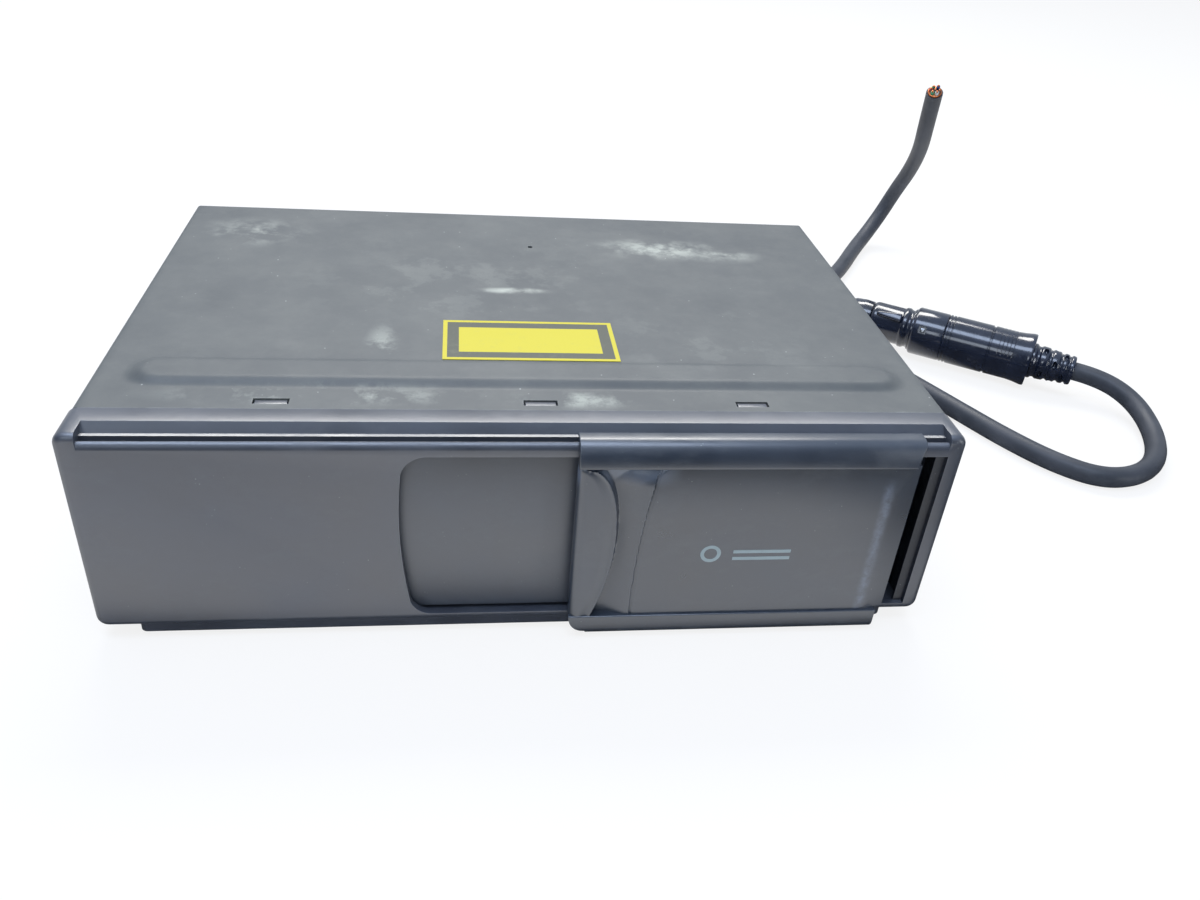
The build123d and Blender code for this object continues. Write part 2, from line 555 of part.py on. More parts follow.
with BuildPart() as spindle_motor:
    upright(11.0, SPINDLE[0], SPINDLE[1], (4.6, DECK_Z))
    upright(2.1, SPINDLE[0], SPINDLE[1], (DECK_Z - 0.5, DECK_Z + DECK_THICK))
    upright(1.0 + FIT, SPINDLE[0], SPINDLE[1], (5.6, 20), Mode.SUBTRACT)
spindle_motor.part.label = "spindle_motor"
export_step(spindle_motor.part, "parts/spindle_motor.step")

with BuildPart() as turntable:
    with BuildSketch(Plane.XZ.offset(-depth(SPINDLE[1]))):
        with BuildLine():
            x = SPINDLE[0]
            Polyline((x, 5.9), (x + 1.0, 5.9), (x + 1.0, 11.8), (x + 4.0, 11.8), (x + 4.0, 13.2), (x + 14.0, 13.2),
                     (x + 14.0, SEAT_Z), (x + 7.3, SEAT_Z), (x + 5.6, SEAT_Z + 2.0), (x, SEAT_Z + 2.0), (x, 5.9))
        make_face()
    revolve(axis=Axis((SPINDLE[0], depth(SPINDLE[1]), 0), (0, 0, 1)))
turntable.part.label = "turntable"
export_step(turntable.part, "parts/turntable.step")

with BuildPart() as clamp_arm:
    with BuildSketch(Plane.XY.offset(20.8)):
        with BuildLine():
            x = SPINDLE[0]
            Polyline((x - 8, depth(60)), (x + 8, depth(60)), (x + 13, depth(77)), (x + 19.5, depth(118)),
                     (x + 19.5, depth(136)), (x - 19.5, depth(136)), (x - 19.5, depth(118)), (x - 13, depth(77)),
                     (x - 8, depth(60)))
        make_face()
        with Locations((SPINDLE[0], depth(108.0))):
            SlotOverall(24.0, 12.0, mode=Mode.SUBTRACT)
    extrude(amount=1.2)
    upright(3.2, SPINDLE[0], SPINDLE[1], (20.0, 23.0), Mode.SUBTRACT)
    for side in (-1, 1):
        x = SPINDLE[0] + side * 19.0
        block(sorted((x - side * 0.0, x - side * 1.2)), (128.0, 136.0), (14.4, 21.0))
        crosswise(1.2, sorted((x - side * 1.0, x + side * 3.2)), 132.0, 17.0)
clamp_arm.part.label = "clamp_arm"
export_step(clamp_arm.part, "parts/clamp_arm.step")

with BuildPart() as clamp_puck:
    with BuildSketch(Plane.XZ.offset(-depth(SPINDLE[1]))):
        with BuildLine():
            x = SPINDLE[0]
            Polyline((x, 17.4), (x + 13.0, 17.4), (x + 13.0, 18.8), (x + 3.1, 20.2), (x + 3.1, 22.4), (x + 5.5, 22.4),
                     (x + 5.5, 23.2), (x, 23.2), (x, 17.4))
        make_face()
    revolve(axis=Axis((SPINDLE[0], depth(SPINDLE[1]), 0), (0, 0, 1)))
clamp_puck.part.label = "clamp_puck"
export_step(clamp_puck.part, "parts/clamp_puck.step")

with BuildPart() as sled_rods:
    for x in ROD_X:
        lengthwise(1.2, x, (13.4, 63.4), ROD_Z)
sled_rods.part.label = "sled_rods"
export_step(sled_rods.part, "parts/sled_rods.step")

with BuildPart() as pickup_sled:
    block((ROD_X[0] - 4, ROD_X[1] + 4), (LENS_D - 5.6, LENS_D + 5.6), (6.4, 12.0))
    block((ROD_X[0] + 4, ROD_X[1] - 4), (LENS_D - 6.6, LENS_D + 6.6), (5.4, 12.6))
    upright(3.1, SPINDLE[0], LENS_D, (11.0, 14.0), Mode.SUBTRACT)
    for x in ROD_X:
        lengthwise(1.2 + FIT, x, (LENS_D - 10, LENS_D + 10), ROD_Z, Mode.SUBTRACT)
pickup_sled.part.label = "pickup_sled"
export_step(pickup_sled.part, "parts/pickup_sled.step")

with BuildPart() as pickup_lens:
    upright(3.0, SPINDLE[0], LENS_D, (11.0, 12.9))
    with Locations((SPINDLE[0], depth(LENS_D), 13.2)):
        Cone(2.2, 1.5, 0.6)
pickup_lens.part.label = "pickup_lens"
export_step(pickup_lens.part, "parts/pickup_lens.step")

# ---------------------------------------------------------------- lift cam
with BuildPart() as lift_cam:
    block(CAM_X, (9.5, 122.0), (10.6, 57.0))
    for d in PIN_D:
        with BuildSketch(side_plane(CAM_X[0] - 1)):
            start = (depth(d), PIN_Z)
            end = (depth(d - CAM_TRAVEL), PIN_Z + LIFT)
            with Locations(((start[0] + end[0]) / 2, (start[1] + end[1]) / 2)):
                SlotCenterToCenter(sqrt(CAM_TRAVEL**2 + LIFT**2), 2 * PIN_R + 0.6,
                                   rotation=degrees(atan2(LIFT, -CAM_TRAVEL)))
        extrude(amount=4.0, mode=Mode.SUBTRACT)
lift_cam.part.label = "lift_cam"
export_step(lift_cam.part, "parts/lift_cam.step")

# ---------------------------------------------------------------- lead, plug and socket
heading = (cos(radians(PLUG_HEADING)), sin(radians(PLUG_HEADING)))


def on_plug_axis(run):
    """Point on the plug's axis, a run forward from the locking collar's rear rim."""
    return (PLUG_START[0] + run * heading[0], PLUG_START[1] + run * heading[1], PLUG_AXIS_Z)


def plug_plane(run):
    """Plane square to the plug's axis, facing along it."""
    return Plane(origin=on_plug_axis(run), x_dir=(-heading[1], heading[0], 0), z_dir=(heading[0], heading[1], 0))


def turned(profile):
    """Revolve run and radius pairs about the plug's axis. The list goes once round half the section."""
    plan = Plane(origin=on_plug_axis(0), x_dir=(heading[0], heading[1], 0), z_dir=(0, 0, 1))
    with BuildSketch(plan) as half_section:
        with BuildLine():
            Polyline(*profile, profile[0])
        make_face()
    revolve(half_section.sketch, axis=Axis(on_plug_axis(0), (heading[0], heading[1], 0)))


PLUG_LENGTH = 56.0
RELIEF_END = 75.5
SOCKET_START = -21.0
BOOT_START = -33.0

with BuildPart() as cable_grommet:
    with BuildSketch(Plane.YZ.offset(GROMMET[0])):
        with BuildLine():
            g = GROMMET[1]
            Polyline((depth(REAR_D - 1.6), g), (depth(REAR_D - 1.6), g + 7.4), (depth(REAR_D), g + 7.4),
                     (depth(REAR_D), g + 5.95), (depth(REAR_D + SHEET), g + 5.95), (depth(REAR_D + SHEET), g + 7.6),
                     (depth(REAR_D + 3.0), g + 7.2), (depth(REAR_D + 9.0), g + 5.4), (depth(REAR_D + 9.0), g),
                     (depth(REAR_D - 1.6), g))
        make_face()
    revolve(axis=Axis((GROMMET[0], 0, GROMMET[1]), (0, 1, 0)))
cable_grommet.part.label = "cable_grommet"
export_step(cable_grommet.part, "parts/cable_grommet.step")

boot_rear = on_plug_axis(BOOT_START)
PIGTAIL_ROUTE = [
    (GROMMET[0], depth(REAR_D + 9.0), GROMMET[1]),
    (GROMMET[0], 111.0, GROMMET[1]),
    (110.0, 129.0, 23.5),
    (126.0, 141.0, 19.5),
    (145.0, 144.5, 15.0),
    on_plug_axis(BOOT_START - 15),
    boot_rear,
]
LEAD_ROUTE = [
    on_plug_axis(RELIEF_END),
    on_plug_axis(RELIEF_END + 12),
    (284.0, 47.5, 9.5),
    (283.5, 27.5, 5.2),
    (272.5, 6.0, 4.4),
    (256.5, -6.5, 4.4),
    (238.5, -8.5, 4.4),
    (223.5, 3.5, 4.4),
    (211.0, 22.5, 4.4),
    (201.0, 42.0, 4.4),
    (191.5, 61.0, 4.4),
    (181.0, 80.0, 4.8),
    # over the pigtail, with two points at the top of the hump
    (169.5, 97.0, 9.0),
    (160.0, 114.0, 17.0),
    (154.0, 131.5, 23.5),
    (154.0, 150.0, 23.0),
    (161.0, 166.0, 14.0),
    (172.0, 177.0, 6.5),
    (185.0, 189.0, 4.4),
    (198.5, 208.0, 4.4),
    (214.5, 235.0, 4.6),
    # the cut end springs up off the surface and back over itself
    (228.0, 253.0, 8.0),
    (238.5, 262.0, 18.0),
    (244.5, 262.0, 33.0),
    (245.0, 249.5, 50.0),
    (239.0, 230.0, 68.0),
    (229.0, 209.0, 86.0),
    (223.0, 196.0, 107.0),
]


CORD_SIDES = 12
CORD_SECTION = sqrt(2 * pi / CORD_SIDES / sin(2 * pi / CORD_SIDES))    # corner radius for a round cord's section area


def cord(route, radius, name):
    """Cord along straight runs joined by arcs, each as large as its two runs allow."""
    points = [Vector(*point) for point in route]
    radii = []
    for before, here, after in zip(points, points[1:], points[2:]):
        turn = radians((here - before).get_angle(after - here))
        shorter = min((here - before).length, (after - here).length)
        radii.append(0.45 * shorter / tan(turn / 2))
    print(name, "radii in diameters:", [round(r / radius / 2, 1) for r in radii])
    with BuildPart() as tube:
        with BuildLine() as path:
            FilletPolyline(*points, radius=radii)
        with BuildSketch(Plane(origin=points[0], z_dir=points[1] - points[0])):
            RegularPolygon(CORD_SECTION * radius, CORD_SIDES)
        sweep()
    length = path.line.length if hasattr(path.line, "length") else sum(edge.length for edge in path.edges())
    print(name, "length", round(length, 1), "volume over section times length",
          round(tube.part.volume / (pi * radius**2 * length), 4))
    return tube.part


pigtail_cable = cord(PIGTAIL_ROUTE, PIGTAIL_R, "pigtail_cable")
pigtail_cable.label = "pigtail_cable"
export_step(pigtail_cable, "parts/pigtail_cable.step")

lead_cable = cord(LEAD_ROUTE, CORD_R, "lead_cable")
lead_cable.label = "lead_cable"
export_step(lead_cable, "parts/lead_cable.step")

with BuildPart() as socket_boot:
    turned([(BOOT_START, 0), (BOOT_START, 5.2), (SOCKET_START, 7.4), (SOCKET_START, 0)])
socket_boot.part.label = "socket_boot"
export_step(socket_boot.part, "parts/socket_boot.step")

with BuildPart() as socket_shell:
    turned([(SOCKET_START, 0), (SOCKET_START, 9.2), (-6.0, 9.2), (-6.0, 10.2), (-1.0, 10.2), (-1.0, 9.2), (9.0, 9.2),
            (9.0, 0)])
    # keyed latch lug on the side
    with BuildSketch(plug_plane(-16.0)):
        with Locations((0, 0)):
            Rectangle(5.6, 21.4)
    extrude(amount=9.6)
socket_shell.part.label = "socket_shell"
export_step(socket_shell.part, "parts/socket_shell.step")

with BuildPart() as locking_collar:
    turned([(0.0, 9.26), (0.0, 11.6), (15.2, 11.6), (15.2, 10.3), (9.2, 10.3), (9.2, 9.26)])
    # bayonet window
    with BuildSketch(plug_plane(4.6)):
        with Locations((0, 11.0)):
            Rectangle(3.4, 3.0)
    extrude(amount=3.6, mode=Mode.SUBTRACT)
locking_collar.part.label = "locking_collar"
export_step(locking_collar.part, "parts/locking_collar.step")

with BuildPart() as plug_shell:
    turned([(9.3, 0), (9.3, 10.0), (15.4, 10.0), (15.4, 11.6), (48.0, 11.6), (PLUG_LENGTH - 4, 12.5),
            (PLUG_LENGTH, 12.5), (PLUG_LENGTH, 0)])
plug_shell.part.label = "plug_shell"
export_step(plug_shell.part, "parts/plug_shell.step")

with BuildPart() as plug_boot:
    # strain relief: three tapering rings with two grooves between them
    turned([(PLUG_LENGTH, 0), (PLUG_LENGTH, 7.8), (62.4, 7.6), (62.4, 6.4), (63.6, 6.4), (63.6, 7.4), (69.2, 7.1),
            (69.2, 6.1), (70.4, 6.1), (70.4, 6.9), (RELIEF_END, 6.6), (RELIEF_END, 0)])
plug_boot.part.label = "plug_boot"
export_step(plug_boot.part, "parts/plug_boot.step")

# cut end: the conductors stand a little proud of the jacket
with BuildPart() as cut_conductors:
    last, end = Vector(*LEAD_ROUTE[-2]), Vector(*LEAD_ROUTE[-1])
    with BuildSketch(Plane(origin=end, z_dir=end - last)):
        RegularPolygon(0.85, 8)
        with PolarLocations(2.1, 6):
            RegularPolygon(0.85, 8)
    extrude(amount=1.4)
cut_conductors.part.label = "cut_conductors"
export_step(cut_conductors.part, "parts/cut_conductors.step")
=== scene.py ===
"""Looks of the car disc changer: housing, sliding door, magazine and player, lead with its round plug."""

import json
import random
from math import cos, hypot, pi, radians, sin, sqrt

import bmesh
import bpy
from mathutils import Matrix, Vector


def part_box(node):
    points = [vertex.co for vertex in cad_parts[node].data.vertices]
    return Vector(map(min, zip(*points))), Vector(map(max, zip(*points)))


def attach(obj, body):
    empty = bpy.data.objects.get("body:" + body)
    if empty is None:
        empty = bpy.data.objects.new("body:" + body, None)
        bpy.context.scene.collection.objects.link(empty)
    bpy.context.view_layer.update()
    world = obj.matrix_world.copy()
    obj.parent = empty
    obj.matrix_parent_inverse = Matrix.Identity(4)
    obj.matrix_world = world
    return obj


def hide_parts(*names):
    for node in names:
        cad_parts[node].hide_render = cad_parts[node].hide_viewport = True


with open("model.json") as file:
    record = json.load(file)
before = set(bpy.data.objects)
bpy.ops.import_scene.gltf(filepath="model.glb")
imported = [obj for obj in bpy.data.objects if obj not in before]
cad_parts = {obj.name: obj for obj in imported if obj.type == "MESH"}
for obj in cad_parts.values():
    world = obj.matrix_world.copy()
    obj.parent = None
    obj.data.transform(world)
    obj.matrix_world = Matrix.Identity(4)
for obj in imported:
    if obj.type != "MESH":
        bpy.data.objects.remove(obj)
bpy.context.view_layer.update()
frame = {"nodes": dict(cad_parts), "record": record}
MM = 0.001

# ---------------- places taken over from the construction
FACE_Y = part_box("front_bezel")[0].y        # the flat front face
TOP = 72.0                                 # flat of the cover, below its bead, in mm


def at(x, d, z):
    """A place given in mm: across, behind the flat front face, and up."""
    return Vector((x * MM, FACE_Y + d * MM, z * MM))


PLUG_START = Vector((201.7, 110.0, 12.5)) * MM
PLUG_HEADING = radians(-33.0)
ALONG_PLUG = Vector((cos(PLUG_HEADING), sin(PLUG_HEADING), 0))


# ---------------- camera, light and floor
CAMERA_PLACE = (-21.83, -319.39, 220.91)   # mm
CAMERA_YAW, CAMERA_PITCH, CAMERA_ROLL = -9.671, -32.654, -5.295
FOCAL_PIXELS, PHOTO_WIDTH = 1006.9, 1200
PRINCIPAL_RIGHT, PRINCIPAL_UP = 2.9, 1.2   # pixels by which the lens axis misses the frame's middle

# where the paper glows in reflections, a painted reflection, in metres: each pair runs from not at all to fully
WHITE_FROM_FRONT, WHITE_TO_RIGHT, WHITE_UP_TO_FACE = (-0.40, -0.15), (0.20, 0.11), (-0.089, -0.098)
BEHIND_BACK, LEFT_OF_SIDE = (0.086, 0.10), (-0.128, -0.142)
BACK_SHARE, NEAR_MIRROR, FAR_MIRROR, PAPER_GLOW = 0.75, 1.12, 0.06, 0.84


def linked(name, data):
    """An object of its own for the data, in the scene."""
    piece = bpy.data.objects.new(name, data)
    bpy.context.scene.collection.objects.link(piece)
    return piece


def make_camera():
    data = bpy.data.cameras.new("camera")
    data.sensor_width = 36.0
    data.lens = data.sensor_width * FOCAL_PIXELS / PHOTO_WIDTH
    data.shift_x = -PRINCIPAL_RIGHT / PHOTO_WIDTH
    data.shift_y = -PRINCIPAL_UP / PHOTO_WIDTH
    data.clip_start = 0.01
    camera = linked("camera", data)
    turn = (Matrix.Rotation(radians(CAMERA_YAW), 4, "Z") @ Matrix.Rotation(radians(CAMERA_PITCH), 4, "X")
            @ Matrix.Rotation(radians(CAMERA_ROLL), 4, "Y") @ Matrix.Rotation(radians(90), 4, "X"))
    camera.matrix_world = Matrix.Translation(Vector(CAMERA_PLACE) * MM) @ turn
    bpy.context.scene.camera = camera


def area_light(name, place, aim, size, watts, tint=(1, 1, 1)):
    data = bpy.data.lights.new(name, "AREA")
    data.shape = "RECTANGLE"
    data.size, data.size_y = size
    data.energy = watts
    data.color = tint
    light = linked(name, data)
    light.location = place
    light.rotation_mode = "QUATERNION"
    light.rotation_quaternion = (Vector(aim) - Vector(place)).to_track_quat("-Z", "Y")


def make_studio():
    bpy.context.scene.view_settings.view_transform = "Standard"
    world = bpy.data.worlds.new("studio")
    bpy.context.scene.world = world
    world.use_nodes = True
    # the room: bright above, pale behind the changer, dark at the height of whoever stands in front
    t = Tree(world.node_tree)
    way = t.parts(t.place("Generated"))
    above = t.fade(way["Z"], 0.35, 0.9)
    behind = t.fade(way["Y"], -0.25, 0.55)
    room = t.mix(behind, (0.030, 0.038, 0.052, 1), (0.60, 0.66, 0.74, 1))
    room = t.mix(above, room, (0.60, 0.72, 0.93, 1))
    soft = t.nodes["Background"]
    t.set(soft.inputs["Color"], room)
    t.set(soft.inputs["Strength"], 0.9)
    white = t.add("Background", {"Color": (1, 1, 1, 1)})
    seen = t.add("LightPath", {}).outputs["Is Camera Ray"]
    mix = t.add("MixShader", {"Fac": seen, 1: soft.outputs[0], 2: white.outputs[0]})
    t.set(t.nodes["World Output"].inputs["Surface"], mix.outputs[0])

    area_light("key_panel", (0.05, 0.88, 1.18), (0, 0, 0), (1.1, 0.4), 16.0, (1.0, 0.98, 0.94))
    area_light("sky_panel", (-0.2, -0.30, 1.30), (0, 0, 0), (1.1, 0.40), 8.0, (0.74, 0.88, 1.15))
    area_light("front_window", (-0.6, -1.3, 0.9), (0, -0.1, 0.05), (0.5, 0.4), 2.5, (0.80, 0.89, 1.0))
    area_light("right_strip", (1.0, -0.75, 0.22), (0.1, 0, 0.03), (0.12, 0.45), 2.2, (0.92, 0.96, 1.0))

    bpy.ops.mesh.primitive_plane_add(size=8.0, location=(0, 0, 0))
    floor = bpy.context.object
    floor.name = "floor"
    paper = bpy.data.materials.new("white_paper")
    paper.use_nodes = True
    t = Tree(paper.node_tree)
    t.surface(Base_Color=(0.9, 0.9, 0.9, 1), Roughness=0.9, Specular_IOR_Level=0.1)
    path = t.add("LightPath", {}).outputs
    seen, mirrored = path["Is Camera Ray"], path["Is Glossy Ray"]
    # in reflections the paper glows as a painted reflection: white near the changer, dark further forward or to the
    # right
    way = t.parts(t.place())
    near = t.times(t.fade(way["Y"], *WHITE_FROM_FRONT), t.fade(way["X"], *WHITE_TO_RIGHT))
    # and dark right under the face, a painted contact shadow in reflections
    near = t.times(near, t.fade(way["Y"], *WHITE_UP_TO_FACE))
    round_back = t.math("MAXIMUM", t.remap(way["Y"], *BEHIND_BACK), t.remap(way["X"], *LEFT_OF_SIDE))
    near = t.math("MAXIMUM", near, t.times(round_back, BACK_SHARE))
    reflected = t.math("ADD", t.times(near, NEAR_MIRROR), FAR_MIRROR)
    glow = t.add("Emission", {"Strength": t.math("ADD", t.times(mirrored, reflected), seen)})
    share = t.add("Math", {0: seen, 1: PAPER_GLOW, 2: mirrored}, operation="MULTIPLY_ADD")
    lit = t.nodes["Principled BSDF"]
    mix = t.add("MixShader", {"Fac": share.outputs[0], 1: lit.outputs[0], 2: glow.outputs[0]})
    t.set(t.nodes["Material Output"].inputs["Surface"], mix.outputs[0])
    floor.data.materials.append(paper)


# ---------------- modelling helpers
def select_only(*objects):
    bpy.ops.object.select_all(action="DESELECT")
    for piece in objects:
        piece.select_set(True)
    bpy.context.view_layer.objects.active = objects[-1]


def apply_modifiers(piece):
    select_only(piece)
    for modifier in list(piece.modifiers):
        bpy.ops.object.modifier_apply(modifier=modifier.name)


def settle(piece):
    """The piece's place goes into its mesh."""
    select_only(piece)
    bpy.ops.object.transform_apply(location=True, rotation=True, scale=True)
    return piece


def smooth(piece, angle=35):
    """Shades a piece smooth across edges flatter than the angle."""
    select_only(piece)
    bpy.ops.object.shade_smooth_by_angle(angle=radians(angle))
    return piece


def named(name):
    """The object that was just made, its data under the same name."""
    piece = bpy.context.object
    piece.name = piece.data.name = name
    return piece


def open_edit(piece):
    """Starts an edit of the whole piece."""
    select_only(piece)
    bpy.ops.object.mode_set(mode="EDIT")
    bpy.ops.mesh.select_all(action="SELECT")


def face_outward():
    """Ends an edit with all faces pointing outward."""
    bpy.ops.mesh.select_all(action="SELECT")
    bpy.ops.mesh.normals_make_consistent(inside=False)
    bpy.ops.object.mode_set(mode="OBJECT")


def drawn_out(name, corners, along):
    """A solid whose end is the polygon through the corners, drawn out along a vector, in metres."""
    bpy.ops.mesh.primitive_circle_add(vertices=len(corners), fill_type="NGON")
    piece = named(name)
    for vertex, corner in zip(piece.data.vertices, corners):
        vertex.co = corner
    open_edit(piece)
    bpy.ops.mesh.extrude_region_move(TRANSFORM_OT_translate={"value": along})
    face_outward()
    return piece


def soften_edges(piece, width, segments=2, angle=35):
    bevel = piece.modifiers.new("soft_edges", "BEVEL")
    bevel.width = width
    bevel.segments = segments
    bevel.limit_method = "ANGLE"
    bevel.angle_limit = radians(angle)
    bevel.use_clamp_overlap = True
    apply_modifiers(piece)
    return smooth(piece)


def clean_copy(node, name):
    """A merged copy of a construction node's mesh, to be finished here."""
    piece = frame["nodes"][node].copy()
    piece.data = piece.data.copy()
    piece.name = piece.data.name = name
    piece.parent = None
    for key in list(piece.keys()):
        del piece[key]
    bpy.context.scene.collection.objects.link(piece)
    open_edit(piece)
    bpy.ops.mesh.remove_doubles(threshold=0.000005)
    bpy.ops.mesh.dissolve_limited(angle_limit=radians(1.0))
    bpy.ops.object.mode_set(mode="OBJECT")
    return piece


def finished_copy(node, name, width, body, material, segments=2):
    """A softened copy of a node takes its place."""
    piece = clean_copy(node, name)
    soften_edges(piece, width * MM, segments)
    return dress(piece, material, body, node)


STOOD_FOR = set()              # construction nodes that a piece stands for


def dress(piece, material, body, *nodes):
    """Gives a piece its one finish and its body, and lets it stand for construction nodes."""
    piece.data.materials.clear()
    piece.data.materials.append(material)
    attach(piece, body)
    if nodes:
        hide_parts(*nodes)
        STOOD_FOR.update(nodes)
    return piece


# ---------------- node shorthand
def new_group(name, inputs, outputs):
    """An empty node group. Inputs and outputs are name and kind pairs, inputs with a default."""
    group = bpy.data.node_groups.new(name, "ShaderNodeTree")
    kinds = {"value": "NodeSocketFloat", "colour": "NodeSocketColor", "vector": "NodeSocketVector"}
    for title, kind, default in inputs:
        socket = group.interface.new_socket(title, in_out="INPUT", socket_type=kinds[kind])
        socket.default_value = default
    for title, kind in outputs:
        group.interface.new_socket(title, in_out="OUTPUT", socket_type=kinds[kind])
    given, result = group.nodes.new("NodeGroupInput"), group.nodes.new("NodeGroupOutput")
    return group, Tree(group), given.outputs, result.inputs


class Tree:
    """Shorthand for building one node tree. What goes into an input is a value or another node's output."""

    def __init__(self, tree):
        self.nodes, self.links = tree.nodes, tree.links

    def set(self, socket, value):
        if hasattr(value, "is_output"):
            self.links.new(value, socket)
        else:
            socket.default_value = value

    def add(self, kind, inputs, **settings):
        """A new node. Its inputs are given by title or by number."""
        node = self.nodes.new("ShaderNode" + kind)
        for setting, value in settings.items():
            setattr(node, setting, value)
        for title, value in inputs.items():
            self.set(node.inputs[title], value)
        return node

    def surface(self, **inputs):
        """Sets inputs of the material's own shader."""
        for title, value in inputs.items():
            self.set(self.nodes["Principled BSDF"].inputs[title.replace("_", " ")], value)

    def place(self, kind="Object"):
        return self.add("TexCoord", {}).outputs[kind]

    def parts(self, vector):
        return self.add("SeparateXYZ", {0: vector}).outputs

    def noise(self, vector, scale, detail=4.0, rough=0.55):
        inputs = {"Vector": vector, "Scale": scale, "Detail": detail, "Roughness": rough}
        return self.add("TexNoise", inputs).outputs["Fac"]

    def cells(self, vector, scale, randomness=1.0):
        inputs = {"Vector": vector, "Scale": scale, "Randomness": randomness}
        return self.add("TexVoronoi", inputs).outputs["Distance"]

    def remap(self, value, low, high, to_low=0.0, to_high=1.0, kind="LINEAR"):
        inputs = {"Value": value, "From Min": low, "From Max": high, "To Min": to_low, "To Max": to_high}
        return self.add("MapRange", inputs, interpolation_type=kind).outputs["Result"]

    def fade(self, value, low, high):
        return self.remap(value, low, high, kind="SMOOTHSTEP")

    def math(self, operation, first, second=0.0):
        return self.add("Math", {0: first, 1: second}, operation=operation).outputs[0]

    def times(self, first, second):
        return self.math("MULTIPLY", first, second)

    def vector(self, operation, *inputs):
        node = self.add("VectorMath", dict(enumerate(inputs)), operation=operation)
        return node.outputs["Value" if operation in ("LENGTH", "DOT_PRODUCT") else "Vector"]

    def mix(self, factor, first, second):
        # sockets 6 and 7 take the two colours, output 2 gives the mixed one
        return self.add("Mix", {"Factor": factor, 6: first, 7: second}, data_type="RGBA").outputs[2]

    def mapped(self, vector, place=(0, 0, 0), scale=(1, 1, 1)):
        return self.add("Mapping", {"Vector": vector, "Location": place, "Scale": scale}).outputs[0]

    def bump(self, height, strength, distance):
        return self.add("Bump", {"Height": height, "Strength": strength, "Distance": distance}).outputs[0]

    def group(self, group, **values):
        inputs = {title.replace("_", " "): value for title, value in values.items()}
        return self.add("Group", inputs, node_tree=group).outputs


# ---------------- shared effects
def make_grain_group():
    """Fine moulded or sprayed grain, in texture coordinates of metres."""
    group, t, given, result = new_group("fine_grain", [("Vector", "vector", (0, 0, 0)), ("Scale", "value", 2500.0)],
                                     [("Height", "value"), ("Fleck", "value")])
    fine = t.noise(given["Vector"], given["Scale"], 3.0, 0.6)
    coarse = t.noise(given["Vector"], t.times(given["Scale"], 0.23), 2.0)
    t.set(result["Height"], t.math("ADD", fine, t.times(coarse, 0.6)))
    t.set(result["Fleck"], t.remap(fine, 0.62, 0.75))
    return group


def make_handling_group():
    """Uneven sheen and tone that handling leaves: broad patches, smears and a few fine specks."""
    group, t, given, result = new_group(
        "handling", [("Vector", "vector", (0, 0, 0)), ("Scale", "value", 30.0), ("Specks", "value", 0.5)],
        [("Patches", "value"), ("Smears", "value"), ("Specks", "value")])
    vector, scale = given["Vector"], given["Scale"]
    t.set(result["Patches"], t.remap(t.noise(vector, scale, 4.0), 0.3, 0.7))
    drawn = t.mapped(vector, scale=(0.8, 1.0, 1.25))
    t.set(result["Smears"], t.remap(t.noise(drawn, t.times(scale, 2.2), 5.0, 0.7), 0.52, 0.78))
    dots = t.remap(t.cells(vector, t.times(scale, 14.0)), 0.10, 0.03)
    sparse = t.remap(t.noise(vector, t.times(scale, 5.0), 2.0), 0.55, 0.65)
    t.set(result["Specks"], t.times(t.times(dots, sparse), given["Specks"]))
    return group


def make_smudge_group():
    """A ragged powdery smudge round a place on a flat top."""
    group, t, given, result = new_group(
        "dust_smudge", [("Vector", "vector", (0, 0, 0)), ("Place", "vector", (0, 0, 0)),
                        ("Reach", "vector", (1, 1, 1)), ("Break up", "value", 0.5)], [("Mask", "value")])
    away = t.vector("DIVIDE", t.vector("SUBTRACT", given["Vector"], given["Place"]), given["Reach"])
    body = t.fade(t.vector("LENGTH", away), 1.0, 0.1)
    rough = t.noise(given["Vector"], 260.0, 6.0, 0.75)
    broad = t.noise(given["Vector"], 60.0, 4.0, 0.6)
    torn = t.times(rough, t.remap(broad, 0.35, 0.62))
    t.set(result["Mask"], t.times(body, t.remap(torn, t.times(given["Break up"], 0.34), 0.46)))
    return group


def make_edge_group():
    """Mask of the object's edges, where paint and grain wear smooth."""
    group, t, given, result = new_group("worn_edge", [("Vector", "vector", (0, 0, 0)), ("Width", "value", 0.0006)],
                                     [("Mask", "value")])
    rounded = t.add("Bevel", {"Radius": given["Width"]}, samples=4).outputs[0]
    bent = t.vector("DOT_PRODUCT", rounded, t.add("NewGeometry", {}).outputs["Normal"])
    ragged = t.remap(t.noise(given["Vector"], 300.0, 4.0), 0.35, 0.6)
    t.set(result["Mask"], t.times(t.remap(bent, 0.985, 0.86), ragged))
    return group


GRAIN, HANDLING, SMUDGE, WORN = make_grain_group(), make_handling_group(), make_smudge_group(), make_edge_group()


def new_material(name, roughness, specular=0.5, metallic=0.0):
    material = bpy.data.materials.new(name)
    material.use_nodes = True
    t = Tree(material.node_tree)
    t.surface(Roughness=roughness, Specular_IOR_Level=specular, Metallic=metallic)
    return material, t, t.place()


def tone(red, green, blue):
    """A colour given by its screen values from 0 to 255."""
    return tuple((((v / 255) + 0.055) / 1.055) ** 2.4 if v > 10 else v / 255 / 12.92 for v in (red, green, blue)) + (1,)


def scaled(colour, share):
    """A paler or darker version of a colour."""
    return tuple(min(1, channel * share) for channel in colour[:3]) + (1,)


